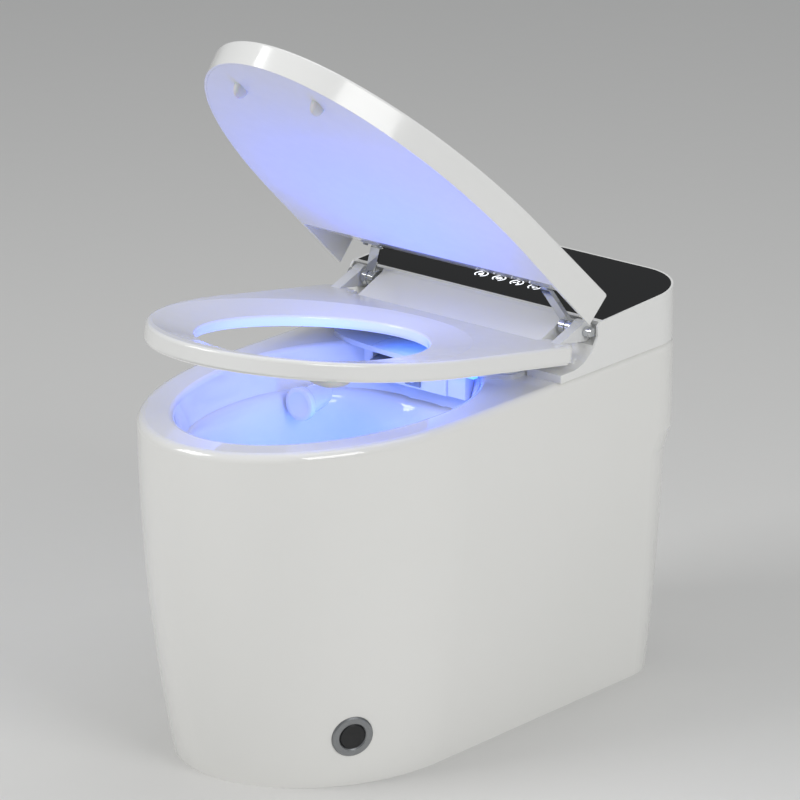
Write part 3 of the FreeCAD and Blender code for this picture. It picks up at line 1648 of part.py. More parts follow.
def impeller(x, y, radius, height, lift):
    """Back plate, hub and radial blades on a bore."""
    floor = size("rim_height") + size("plate_thickness") + size("blower_wall") + lift
    centre = Vector(x, y, floor)
    plate = Part.makeCylinder(radius, size("fan_plate"), centre)
    hub = Part.makeCylinder(size("fan_hub"), height, centre)
    blades = []
    thick = size("fan_blade")
    inner = radius / 2
    for number in range(FAN_BLADES):
        blade = Part.makeBox(radius - inner, thick, height, Vector(inner, -thick / 2, 0))
        blade.Placement = FreeCAD.Placement(centre,
                                            FreeCAD.Rotation(Vector(0, 0, 1), 360 * number / FAN_BLADES))
        blades.append(blade)
    drum_shape = Part.makeCylinder(radius, height, centre)
    body = plate.fuse([hub] + blades).common(drum_shape)
    return body.cut(Part.makeCylinder(size("fan_shaft") + size("running_gap"), height,
                                      centre)).removeSplitter()


piece("dryer_impeller",
      made("dryer_wheel", impeller(size("blower_x"), size("blower_y"), size("dryer_fan_radius"),
                                   size("dryer_fan_height"), size("blower_wall"))))
piece("deodoriser_impeller", made("deodoriser_wheel", impeller(size("deodoriser_x"), size("deodoriser_y"),
                                                               size("deodoriser_fan_radius"),
                                                               size("deodoriser_fan_height"),
                                                               size("blower_wall"))))
filter_y = "deodoriser_y - deodoriser_radius - filter_width - glass_gap"
filter_block = box("filter_block", "filter_length", "filter_width", "filter_height",
                   "deodoriser_x - filter_length / 2", filter_y,
                   "rim_height + plate_thickness")
filter_slot = box("filter_slot", "filter_length - 4 * filter_rib", "filter_width + 2 * overrun",
                  "filter_height / 2",
                  "deodoriser_x - filter_length / 2 + 2 * filter_rib", f"{filter_y} - overrun",
                  "rim_height + plate_thickness + filter_height - filter_rib")
piece("carbon_filter", cut("carbon_filter", filter_block, filter_slot))


# Hinge drives inside the hump

for hand, side in (("left", -1), ("right", 1)):
    low_x = "drive_in" if side > 0 else "-drive_out"
    gearbox = box(f"drive_{hand}_box", "drive_out - drive_in", "drive_depth", "drive_height", low_x,
                  "drive_front_y",
                  "rim_height + plate_thickness")
    motor = rod(f"drive_{hand}_motor", "drive_motor_radius", "drive_motor_length + overrun",
                f"{side} * (drive_in + overrun)",
                "drive_front_y + drive_depth / 2", "rim_height + plate_thickness + drive_height / 2",
                Vector(-side, 0, 0))
    name = "lid_drive" if side < 0 else "seat_drive"
    piece(name, joined(name, gearbox, motor))


# Boards

board_z = "rim_height + plate_thickness + board_stand"
board = box("board", "board_length", "board_width", "board_thickness", "-board_length / 2", "board_y",
            board_z)
members = [board]
for number in range(2):
    members.append(box(f"relay_{number}", "relay_length", "relay_width", "relay_height + board_thickness",
                       f"{number} * 3 * relay_length / 2 - board_length / 3", "board_y + board_width / 3",
                       board_z))
for number in range(3):
    members.append(rod(f"capacitor_{number}", "capacitor_radius", "capacitor_height + board_thickness",
                       f"board_length / 6 + {number} * 5 * capacitor_radius / 2",
                       "board_y + board_width / 2", board_z))
piece("main_board", joined("main_board", *members))


# Night light

piece("night_light", box("night_light", "light_length", "light_width", "light_height", "light_x", "light_y",
                         "rim_height + light_sink - light_height"))


# Water and power in the bay

inlet_outline = [
    ("inlet_bore", "0"),
    ("inlet_thread", "0"),
    ("inlet_thread", "bay_rear_y - inlet_inner_y - inlet_flange_thickness"),
    ("inlet_flange", "bay_rear_y - inlet_inner_y - inlet_flange_thickness"),
    ("inlet_flange", "bay_rear_y - inlet_inner_y"),
    ("inlet_thread", "bay_rear_y - inlet_inner_y"),
    ("inlet_thread", "rear_reach - inlet_inner_y - overrun"),
    ("inlet_bore", "rear_reach - inlet_inner_y - overrun"),
]
piece("water_inlet",
      locate(turned("inlet", inlet_outline), "inlet_x", "inlet_inner_y", "inlet_z", Vector(0, 1, 0)))
gland_outline = [
    ("gland_bore", "0"),
    ("gland_flange", "0"),
    ("gland_flange", "bay_rear_y - inlet_inner_y"),
    ("gland_radius", "bay_rear_y - inlet_inner_y"),
    ("gland_radius", "rear_reach - inlet_inner_y - 2 * overrun"),
    ("gland_bore", "rear_reach - inlet_inner_y - 2 * overrun"),
]
piece("cord_gland",
      locate(turned("gland", gland_outline), "-inlet_x", "inlet_inner_y", "inlet_z", Vector(0, 1, 0)))
valve_tube = rod("valve_tube", "valve_radius", "valve_length", "inlet_x", "inlet_inner_y - valve_length",
                 "inlet_z", Vector(0, 1, 0))
valve_coil = rod("valve_coil", "coil_radius", "coil_height", "inlet_x", "inlet_inner_y - valve_length / 2",
                 "inlet_z")
piece("solenoid_valve", joined("solenoid_valve", valve_tube, valve_coil))
volute = rod("volute", "volute_radius", "volute_height", "-pump_out", "pump_y", "bay_floor_z")
pump_can = rod("pump_can", "pump_motor_radius", "pump_motor_height", "-pump_out", "pump_y",
               "bay_floor_z + volute_height")
pump_port = rod("pump_port", "pump_port_radius", "volute_radius + pump_port_radius", "-pump_out", "pump_y",
                "bay_floor_z + volute_height / 2", Vector(1, 0, 0))
piece("flush_pump", joined("flush_pump", volute, pump_can, pump_port))
heater_core = box("heater_core", "heater_end - heater_x", "heater_width", "heater_height", "heater_x",
                  "heater_y", "bay_floor_z")
fins = []
for number in range(HEATER_FINS):
    place = f"heater_x + ({number} + 1 / 2) * (heater_end - heater_x) / {HEATER_FINS} - heater_fin / 2"
    fins.append(box(f"heater_groove_{number}", "heater_fin", "heater_fin", "heater_height + 2 * overrun",
                    place,
                    "heater_y + heater_width - heater_fin", "bay_floor_z - overrun"))
piece("water_heater", cut("water_heater", heater_core, *fins))
piece("power_supply", box("power_supply", "supply_length", "supply_width", "supply_height", "supply_x",
                          "supply_y", "bay_floor_z"))


def hose(points):
    """Hose along a route, with its bore."""
    bend = size("hose_bend")
    return tube_along(points, bend, size("hose_radius")).cut(tube_along(points, bend, size("hose_bore")))


def wash_hose():
    """From the heater up through the plate to the nozzle guide."""
    x = size("riser_x")
    y = size("riser_y")
    foot = size("bay_floor_z") + size("heater_height")
    slope = math.radians(size("nozzle_slope"))
    place = size("guide_length") - size("guide_half")
    end_y = size("nozzle_y") + place * math.cos(slope)
    cover = (size("guide_half") + size("hose_radius") * math.sin(slope)) / math.cos(slope)
    guide_top = size("nozzle_z") + place * math.sin(slope) + cover
    high = guide_top + size("hose_bend") + size("hose_radius")
    return hose([Vector(x, y, foot), Vector(x, y, high), Vector(0, end_y, high),
                 Vector(0, end_y, guide_top + size("jet_gap"))])


def supply_hose():
    """From the valve across the bay to the pump."""
    start_y = size("inlet_inner_y") - size("valve_length")
    back_y = start_y - 2 * size("hose_bend")
    port = Vector(-size("pump_out") + size("volute_radius") + size("pump_port_radius"), size("pump_y"),
                  size("bay_floor_z") + size("volute_height") / 2)
    turn_x = port.x + 2 * size("hose_bend")
    level = size("inlet_z")
    return hose([Vector(size("inlet_x"), start_y, level), Vector(size("inlet_x"), back_y, level),
                 Vector(turn_x, back_y, level), Vector(turn_x, port.y, port.z), port])


piece("wash_hose", made("wash_line", wash_hose()))
piece("supply_hose", made("supply_line", supply_hose()))


# Foot button, turned about the normal of the skirt

bezel_outline = [
    ("button_cap + running_gap", "-button_sleeve_length"),
    ("button_sleeve", "-button_sleeve_length"),
    ("button_sleeve", "-button_seat"),
    ("button_flange", "-button_seat"),
    ("button_flange", "button_flange_thickness - button_seat - bezel_round"),
    ("button_flange - bezel_round", "button_flange_thickness - button_seat"),
    ("button_cap + running_gap + bezel_round", "button_flange_thickness - button_seat"),
    ("button_cap + running_gap", "button_flange_thickness - button_seat - bezel_round"),
]
cap_outline = [
    ("0", "button_cap_proud - button_cap_length"),
    ("button_cap", "button_cap_proud - button_cap_length"),
    ("button_cap", "button_cap_proud - button_dish_depth"),
    ("button_cap - button_dish_depth", "button_cap_proud"),
    ("button_dish", "button_cap_proud"),
    ("0", "button_cap_proud - button_dish_depth"),
]
switch_outline = [
    ("0", "-button_sleeve_length - switch_height"),
    ("switch_side", "-button_sleeve_length - switch_height"),
    ("switch_side", "-button_sleeve_length"),
    ("plunger_radius", "-button_sleeve_length"),
    ("plunger_radius", "button_cap_proud - button_cap_length - button_travel - button_gap"),
    ("0", "button_cap_proud - button_cap_length - button_travel - button_gap"),
]
for node, outline in (("foot_button_bezel", bezel_outline), ("foot_button_cap", cap_outline),
                      ("foot_switch", switch_outline)):
    body = turned(node + "_turned", outline)
    body.Placement = button_frame()
    piece(node, body)


# Screws that hold the plate to the pan

plate_screws = []
for x, y in screw_places():
    top = size("rim_height") + size("plate_thickness")
    shank = Part.makeCylinder(size("screw_radius"), size("screw_length"),
                              Vector(x, y, top - size("screw_length")))
    plate_screws.append(shank.fuse(Part.makeCylinder(size("screw_head"), size("screw_head_height"),
                                                     Vector(x, y, top))).removeSplitter())
piece("plate_screws", made("screws", Part.makeCompound(plate_screws)))


# Check and write every sub-part

doc.recompute()
for obj in doc.Objects:
    if "Invalid" in obj.State or "Error" in obj.State:
        raise RuntimeError(f"{obj.Name} did not build: {obj.State}")
os.makedirs("parts", exist_ok=True)
for obj in PIECES:
    if obj.Shape.isNull() or not obj.Shape.isValid():
        raise RuntimeError(f"{obj.Label} has no valid shape")
    obj.Shape.exportStep(f"parts/{obj.Label}.step")
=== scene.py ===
"""Looks of a floor-standing bidet toilet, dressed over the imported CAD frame.

Every piece stands in the shared frame, in metres: the origin is the middle of the floor outlet,
+Z is up and -Y is the front.
"""

import json
import logging
import math
from dataclasses import dataclass, field
from enum import Enum
from typing import Any, Optional

import bmesh
import bpy
from mathutils import Matrix, Vector
from mathutils.bvhtree import BVHTree


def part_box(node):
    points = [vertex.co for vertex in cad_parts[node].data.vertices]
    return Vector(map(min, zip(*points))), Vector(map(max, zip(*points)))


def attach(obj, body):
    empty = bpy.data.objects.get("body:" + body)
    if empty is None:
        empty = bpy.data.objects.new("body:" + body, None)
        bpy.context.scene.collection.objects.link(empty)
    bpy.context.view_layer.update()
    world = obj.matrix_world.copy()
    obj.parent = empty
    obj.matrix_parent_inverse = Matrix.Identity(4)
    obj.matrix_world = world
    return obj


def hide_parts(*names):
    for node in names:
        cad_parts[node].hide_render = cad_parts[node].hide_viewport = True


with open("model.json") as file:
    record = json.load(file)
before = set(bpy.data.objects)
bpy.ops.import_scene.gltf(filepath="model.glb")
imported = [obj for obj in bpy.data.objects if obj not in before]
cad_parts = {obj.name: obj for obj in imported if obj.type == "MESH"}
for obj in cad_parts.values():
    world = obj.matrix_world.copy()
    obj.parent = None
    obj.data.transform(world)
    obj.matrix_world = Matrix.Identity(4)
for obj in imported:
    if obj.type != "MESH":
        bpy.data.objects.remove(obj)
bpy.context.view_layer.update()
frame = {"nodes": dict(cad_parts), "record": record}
LOG = logging.getLogger("bidet_toilet")
MM = 0.001

Point = tuple[float, float, float]
Pair = tuple[float, float]
Outline = list[tuple[float, float]]

# Edges that turn by more than this stay crisp
SHARP_DEG = 38
# Width of a mottle patch in grains, and the layers of noise in mottle and grain
MOTTLE_GRAINS = 25
MOTTLE_DETAIL = 3.0
GRAIN_DETAIL = 2.0
# Part of the grain's range that runs from the lowest to the highest roughness
GRAIN_RANGE = (0.3, 0.7)
# Strength of the grain's relief, and how far light goes into a soft body
RELIEF_SHARE = 0.6
SKIN_MM = 2
# How much a drawn surface's grain is squeezed along its streaks
STREAK_SHARE = 0.03
# Sockets of Blender's Mix node when it mixes colours
MIX_FACTOR, MIX_FIRST, MIX_SECOND, MIX_RESULT = 0, 6, 7, 2


# Small builders


def linear(code: str) -> tuple[float, float, float, float]:
    """Turn an sRGB hex value into linear light.

    Args:
        code: Colour as #rrggbb.

    Returns:
        Red, green, blue and full opacity.
    """
    parts = [int(code[at:at + 2], 16) / 255 for at in (1, 3, 5)]
    light = [part / 12.92 if part <= 0.04045 else ((part + 0.055) / 1.055) ** 2.4 for part in parts]
    return light[0], light[1], light[2], 1.0


def add_node(tree: bpy.types.NodeTree, kind: str, values: Optional[dict[Any, Any]] = None,
             links: Optional[dict[Any, Any]] = None, **settings: Any) -> bpy.types.Node:
    """Add one node with its settings and what runs into it.

    Args:
        tree: Tree that gets the node.
        kind: The node's type name.
        values: Socket values by socket name or number.
        links: Output sockets by the socket name or number that they run into.
        **settings: Properties of the node itself.

    Returns:
        The new node.
    """
    node = tree.nodes.new(kind)
    for name, value in settings.items():
        setattr(node, name, value)
    for socket, value in (values or {}).items():
        node.inputs[socket].default_value = value
    for socket, source in (links or {}).items():
        tree.links.new(source, node.inputs[socket])
    return node


def ring_mesh(rings: list[list[Vector]], closed: bool) -> bpy.types.Mesh:
    """Skin a row of rings into one closed mesh.

    Args:
        rings: Points of each ring, all of one length.
        closed: Whether the last ring joins the first; otherwise both ends are capped.

    Returns:
        The mesh, with its faces pointing outwards and shaded smooth.
    """
    shape = bmesh.new()
    loops = [[shape.verts.new(point) for point in ring] for ring in rings]
    after = loops[1:] + loops[:1] if closed else loops[1:]
    for near, far in zip(loops, after):
        for at in range(len(near)):
            shape.faces.new((near[at], near[at - 1], far[at - 1], far[at]))
    if not closed:
        shape.faces.new(loops[0])
        shape.faces.new(list(reversed(loops[-1])))
    bmesh.ops.recalc_face_normals(shape, faces=shape.faces)
    for face in shape.faces:
        face.smooth = True
    mesh = bpy.data.meshes.new("rings")
    shape.to_mesh(mesh)
    shape.free()
    mesh.set_sharp_from_angle(angle=math.radians(SHARP_DEG))
    return mesh


def mesh_object(name: str, mesh: bpy.types.Mesh, material: bpy.types.Material, body: str) -> bpy.types.Object:
    """Put a finished mesh in the scene as a piece of the object.

    Args:
        name: Name of the piece.
        mesh: Its mesh, already in place.
        material: Its material.
        body: CAD body that it moves with.

    Returns:
        The new object.
    """
    mesh.name = name
    if not mesh.materials:
        mesh.materials.append(material)
    piece = bpy.data.objects.new(name, mesh)
    bpy.context.scene.collection.objects.link(piece)
    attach(piece, body)
    LOG.info("built %s with %d faces", name, len(mesh.polygons))
    return piece


# Finishes


class Pattern(Enum):
    """How the fine structure of a surface runs."""

    CLOUD = "even in all directions"
    TURNED = "rings about the local Z axis"
    DRAWN = "streaks along the local X axis"


@dataclass(frozen=True)
class Finish:
    """One real material with the way that its surface was made.

    Attributes:
        name: Common name of the material.
        colour: Main colour as sRGB hex.
        shade: Second colour of its mottle.
        roughness: Lowest and highest roughness.
        grain_mm: Size of the surface pattern.
        height_mm: Height of the surface pattern.
        pattern: How the pattern runs.
        centre_mm: Point that the pattern is centred on.
        turn_deg: Turn of the pattern's axes.
        metallic: Metal share of the surface.
        ior: Refractive index.
        gloss: Strength of the mirror reflection, 0.5 for an uncoated surface.
        coat: Weight of the clear layer on top.
        coat_roughness: Roughness of that layer.
        soft: Share of light that goes into the body and comes back.
        glow: Colour of light given off.
        power: Strength of that light.
    """

    name: str
    colour: str
    shade: str
    roughness: Pair
    grain_mm: float
    height_mm: float
    pattern: Pattern = Pattern.CLOUD
    centre_mm: Point = (0.0, 0.0, 0.0)
    turn_deg: Point = (0.0, 0.0, 0.0)
    metallic: float = 0.0
    ior: float = 1.5
    gloss: float = 0.5
    coat: float = 0.0
    coat_roughness: float = 0.03
    soft: float = 0.0
    glow: str = "#000000"
    power: float = 0.0

    def build(self) -> bpy.types.Material:
        """Make the material's node tree.

        Returns:
            The finished material.
        """
        material = bpy.data.materials.new(self.name)
        material.use_nodes = True
        tree = material.node_tree
        tree.nodes.clear()
        place = add_node(tree, "ShaderNodeTexCoord")
        centre = add_node(tree, "ShaderNodeMapping", {
            "Location": [at * MM for at in self.centre_mm],
            "Rotation": [math.radians(turn) for turn in self.turn_deg],
        }, {"Vector": place.outputs["Object"]}, vector_type="TEXTURE")
        scale = 1 / (self.grain_mm * MM)
        grain = self.grain(tree, centre.outputs["Vector"], scale)
        mottle = add_node(tree, "ShaderNodeTexNoise", {
            "Scale": scale / MOTTLE_GRAINS,
            "Detail": MOTTLE_DETAIL,
        }, {"Vector": centre.outputs["Vector"]})
        tint = add_node(tree, "ShaderNodeMix", {
            MIX_FIRST: linear(self.colour),
            MIX_SECOND: linear(self.shade),
        }, {MIX_FACTOR: mottle.outputs["Fac"]}, data_type="RGBA")
        rough = add_node(tree, "ShaderNodeMapRange", {
            "From Min": GRAIN_RANGE[0],
            "From Max": GRAIN_RANGE[1],
            "To Min": self.roughness[0],
            "To Max": self.roughness[1],
        }, {"Value": grain})
        relief = add_node(tree, "ShaderNodeBump", {
            "Strength": RELIEF_SHARE,
            "Distance": self.height_mm * MM,
        }, {"Height": grain})
        shader = add_node(tree, "ShaderNodeBsdfPrincipled", {
            "Metallic": self.metallic,
            "IOR": self.ior,
            "Specular IOR Level": self.gloss,
            "Coat Weight": self.coat,
            "Coat Roughness": self.coat_roughness,
            "Subsurface Weight": self.soft,
            "Subsurface Scale": SKIN_MM * MM,
            "Emission Color": linear(self.glow),
            "Emission Strength": self.power,
        }, {
            "Base Color": tint.outputs[MIX_RESULT],
            "Roughness": rough.outputs["Result"],
            "Normal": relief.outputs["Normal"],
        })
        add_node(tree, "ShaderNodeOutputMaterial", links={"Surface": shader.outputs["BSDF"]})
        return material

    def grain(self, tree: bpy.types.NodeTree, vector: bpy.types.NodeSocket,
              scale: float) -> bpy.types.NodeSocket:
        """Add the fine pattern.

        Args:
            tree: The material's tree.
            vector: Coordinates of the pattern.
            scale: Repeats in a metre.

        Returns:
            The socket that gives the pattern's height.
        """
        sizes = {"Scale": scale, "Detail": GRAIN_DETAIL}
        if self.pattern is Pattern.TURNED:
            flat = add_node(tree, "ShaderNodeVectorMath", {1: (1.0, 1.0, 0.0)}, {0: vector},
                            operation="MULTIPLY")
            radius = add_node(tree, "ShaderNodeVectorMath", links={0: flat.outputs["Vector"]},
                              operation="LENGTH")
            noise = add_node(tree, "ShaderNodeTexNoise", sizes, {"W": radius.outputs["Value"]},
                             noise_dimensions="1D")
            return noise.outputs["Fac"]
        if self.pattern is Pattern.DRAWN:
            squeezed = add_node(tree, "ShaderNodeVectorMath", {1: (STREAK_SHARE, 1.0, 1.0)}, {0: vector},
                                operation="MULTIPLY")
            vector = squeezed.outputs["Vector"]
        noise = add_node(tree, "ShaderNodeTexNoise", sizes, {"Vector": vector})
        return noise.outputs["Fac"]


# Vitreous china under a clear fired glaze: even white, mirror gloss, a slow orange-peel wave of 14 mm
VITREOUS_CHINA = Finish("vitreous_china_glazed", "#eeeeea", "#f2f1ee", (0.06, 0.11), 14.0, 0.035,
                        ior=1.52, coat=0.6, coat_roughness=0.03)
# Urea-formaldehyde moulding, polished tool: dense white, high gloss, faint flow waves of 22 mm
UREA_WHITE = Finish("urea_resin_polished", "#efefed", "#f3f3f1", (0.12, 0.18), 22.0, 0.03,
                    ior=1.55, coat=0.25, coat_roughness=0.06)
# ABS moulding with a fine spark-eroded grain of 0.6 mm, drawn at 1.5 mm so that it shows
ABS_SATIN = Finish("abs_satin_white", "#e4e5e5", "#e9eaea", (0.34, 0.46), 1.5, 0.02, ior=1.53)
# Same resin as the shells with a softer polish: white, flow waves of 18 mm
LINER_WHITE = Finish("urea_resin_liner", "#ebecee", "#f0f0f1", (0.18, 0.26), 18.0, 0.025,
                     ior=1.55, coat=0.15, coat_roughness=0.1)
# Toughened glass, black print on its back, anti-glare coat: deep black, faint wipe marks of 30 mm
BLACK_GLASS = Finish("toughened_glass_black", "#050506", "#070809", (0.04, 0.08), 30.0, 0.0,
                     ior=1.25, gloss=0.2)
# Zinc casting, chrome plated and buffed: bright mirror with slight handling haze of 6 mm
CHROME = Finish("chrome_plate_buffed", "#d6d8da", "#cfd1d3", (0.05, 0.12), 6.0, 0.004, metallic=1.0)
# Stainless ring turned on a lathe: concentric tool rings of 0.15 mm, drawn at 0.5 mm so that they show
TURNED_STEEL = Finish("stainless_turned", "#8e9092", "#9a9c9e", (0.26, 0.42), 0.5, 0.015, Pattern.TURNED,
                      (142.4, -294.0, 63.0), (96.5, 0.0, 61.0), metallic=1.0)
# Stainless tube, drawn and polished: fine draw lines of 0.8 mm
DRAWN_STEEL = Finish("stainless_drawn", "#c2c4c6", "#b7b9bb", (0.18, 0.3), 0.8, 0.006, Pattern.DRAWN,
                     metallic=1.0)
# Glass-filled nylon, moulded: black with a dry grain of 0.8 mm
NYLON_BLACK = Finish("nylon_glass_filled", "#0f1011", "#16171a", (0.38, 0.55), 0.8, 0.02, ior=1.53)
# Polycarbonate-ABS, moulded grey for inner works: grain of 1.2 mm
INNER_GREY = Finish("pc_abs_grey", "#8a8e91", "#94989b", (0.4, 0.52), 1.2, 0.02, ior=1.57)
# Silicone, moulded: pale and dull, slightly see-through at the skin, grain of 2 mm
SILICONE_PALE = Finish("silicone_pale", "#d3d5d6", "#dcddde", (0.5, 0.62), 2.0, 0.02, ior=1.41, soft=0.25)
# EPDM rubber of seal and hoses: near black with bloom in patches of 8 mm
EPDM_BLACK = Finish("epdm_rubber", "#232425", "#2f3031", (0.6, 0.75), 8.0, 0.03, ior=1.52)
# FR4 circuit board under green lacquer: weave of 0.9 mm just showing
FR4_GREEN = Finish("fr4_solder_mask", "#184f2d", "#1f6337", (0.25, 0.36), 0.9, 0.01, ior=1.55)
# Zinc-plated steel of cases and screws: spangle of 3 mm
ZINC_PLATE = Finish("zinc_plated_steel", "#9b9ea1", "#a9acaf", (0.3, 0.45), 3.0, 0.006, metallic=1.0)
# Brass turned on a lathe: yellow, with tool rings of 0.6 mm round the inlet
BRASS = Finish("brass_turned", "#b08a45", "#bd9850", (0.22, 0.34), 0.6, 0.01, Pattern.TURNED,
               (95.0, 0.0, 225.0), (90.0, 0.0, 0.0), metallic=1.0)
# Aluminium foil of the seat heater: creases of 4 mm
HEATER_FOIL = Finish("aluminium_foil", "#b9bbbd", "#c7c9cb", (0.28, 0.42), 4.0, 0.05, metallic=1.0)
# Pressed carbon granules of 1.5 mm: black and dull
CARBON = Finish("activated_carbon", "#141516", "#202122", (0.75, 0.9), 1.5, 0.3)
# Opal acrylic lens of the night light, lit from behind: milky blue, grain of 3 mm
OPAL_LENS = Finish("opal_acrylic_lit", "#7f9dff", "#8fa9ff", (0.3, 0.4), 3.0, 0.01,
                   ior=1.49, glow="#2f5bff", power=6.0)
# Screen print on the glass, lit from below: even white
LIT_PRINT = Finish("lit_screen_print", "#f4f6f8", "#ffffff", (0.4, 0.5), 1.0, 0.0,
                   glow="#f2f6ff", power=1.2)
# Light chips: small bright squares, blue
LIGHT_CHIP = Finish("light_chip_blue", "#dfe6ff", "#ffffff", (0.2, 0.3), 1.0, 0.0,
                    glow="#3f66ff", power=14.0)
# Matt floor paint: pale grey with a slow change of tone
FLOOR_PAINT = Finish("studio_paint", "#dcdcda", "#dedddb", (0.55, 0.65), 40.0, 0.0)

SLOT_FINISHES = {
    "glazed_ceramic": VITREOUS_CHINA,
    "white_gloss_plastic": UREA_WHITE,
    "white_satin_plastic": ABS_SATIN,
    "lid_liner_plastic": LINER_WHITE,
    "black_glass": BLACK_GLASS,
    "hinge_chrome": CHROME,
    "bezel_steel": TURNED_STEEL,
    "black_plastic": NYLON_BLACK,
    "buffer_rubber": SILICONE_PALE,
    "seal_rubber": EPDM_BLACK,
    "light_lens": OPAL_LENS,
    "circuit_board": FR4_GREEN,
    "grey_plastic": INNER_GREY,
    "motor_steel": ZINC_PLATE,
    "wand_steel": DRAWN_STEEL,
    "brass_fitting": BRASS,
    "heater_foil": HEATER_FOIL,
    "carbon_pad": CARBON,
    "hose_rubber": EPDM_BLACK,
    "screw_steel": ZINC_PLATE,
}


@dataclass
class Wardrobe:
    """Keeps one material for each finish and hands it to CAD nodes by their slot.

    Attributes:
        made: Materials made so far, by the finish's name.
    """

    made: dict[str, bpy.types.Material] = field(default_factory=dict)

    def material(self, finish: Finish) -> bpy.types.Material:
        """Give the one material of a finish.

        Args:
            finish: The finish.

        Returns:
            Its material, made at the first call.
        """
        if finish.name not in self.made:
            self.made[finish.name] = finish.build()
        return self.made[finish.name]

    def dress(self) -> None:
        """Give every CAD node the material of its slot."""
        for subpart in frame["record"]["subparts"]:
            node = frame["nodes"][subpart["node"]]
            material = self.material(SLOT_FINISHES[subpart["material_slot"]])
            if not node.material_slots:
                node.data.materials.append(material)
            for holder in node.material_slots:
                holder.material = material
            LOG.info("dressed %s in %s", subpart["node"], material.name)


# Repeated details, grown with Geometry Nodes


@dataclass
class Grower:
    """A Geometry Nodes tree that repeats one detail along a line.

    Attributes:
        name: Name of the tree.
        sizes: Values of its inputs by socket identifier.
        tree: The tree itself.
    """

    name: str
    sizes: dict[str, Any] = field(default_factory=dict)
    tree: bpy.types.NodeTree = field(init=False)

    def __post_init__(self) -> None:
        """Start the tree with its geometry output."""
        self.tree = bpy.data.node_groups.new(self.name, "GeometryNodeTree")
        self.tree.interface.new_socket("Geometry", in_out="OUTPUT", socket_type="NodeSocketGeometry")

    def size(self, name: str, value: float, kind: str = "NodeSocketFloat") -> None:
        """Add a named size to the tree.

        Args:
            name: Name of the input.
            value: Its value.
            kind: Its socket type.
        """
        socket = self.tree.interface.new_socket(name, in_out="INPUT", socket_type=kind)
        socket.default_value = value
        self.sizes[socket.identifier] = value

    def repeat(self, detail: bpy.types.NodeSocket, material: bpy.types.Material, values: dict[str, Any],
               links: dict[str, Any]) -> None:
        """Repeat the detail along a line and end the tree with real geometry.

        Args:
            detail: Socket that gives the detail.
            material: Material of the detail.
            values: Values of the line's sockets.
            links: Sockets that run into the line.
        """
        line = add_node(self.tree, "GeometryNodeMeshLine", values, links)
        copies = add_node(self.tree, "GeometryNodeInstanceOnPoints",
                          links={"Points": line.outputs["Mesh"], "Instance": detail})
        real = add_node(self.tree, "GeometryNodeRealizeInstances",
                        links={"Geometry": copies.outputs["Instances"]})
        dressed = add_node(self.tree, "GeometryNodeSetMaterial", {"Material": material},
                           {"Geometry": real.outputs["Geometry"]})
        add_node(self.tree, "NodeGroupOutput", links={0: dressed.outputs["Geometry"]})

    def grow(self) -> bpy.types.Mesh:
        """Run the tree once and keep its plain mesh.

        Returns:
            The mesh, at the origin.
        """
        source = bpy.data.meshes.new(self.name)
        holder = bpy.data.objects.new(self.name, source)
        bpy.context.scene.collection.objects.link(holder)
        modifier = holder.modifiers.new(self.name, "NODES")
        modifier.node_group = self.tree
        for identifier, value in self.sizes.items():
            modifier[identifier] = value
        graph = bpy.context.evaluated_depsgraph_get()
        mesh = bpy.data.meshes.new_from_object(holder.evaluated_get(graph), depsgraph=graph)
        bpy.data.objects.remove(holder)
        bpy.data.meshes.remove(source)
        return mesh


class Sign(Enum):
    """What one touch mark shows inside its ring."""

    DROP = "rinse"
    SPRAY = "wash"
    FAN = "dry"
    CROSS = "stop"


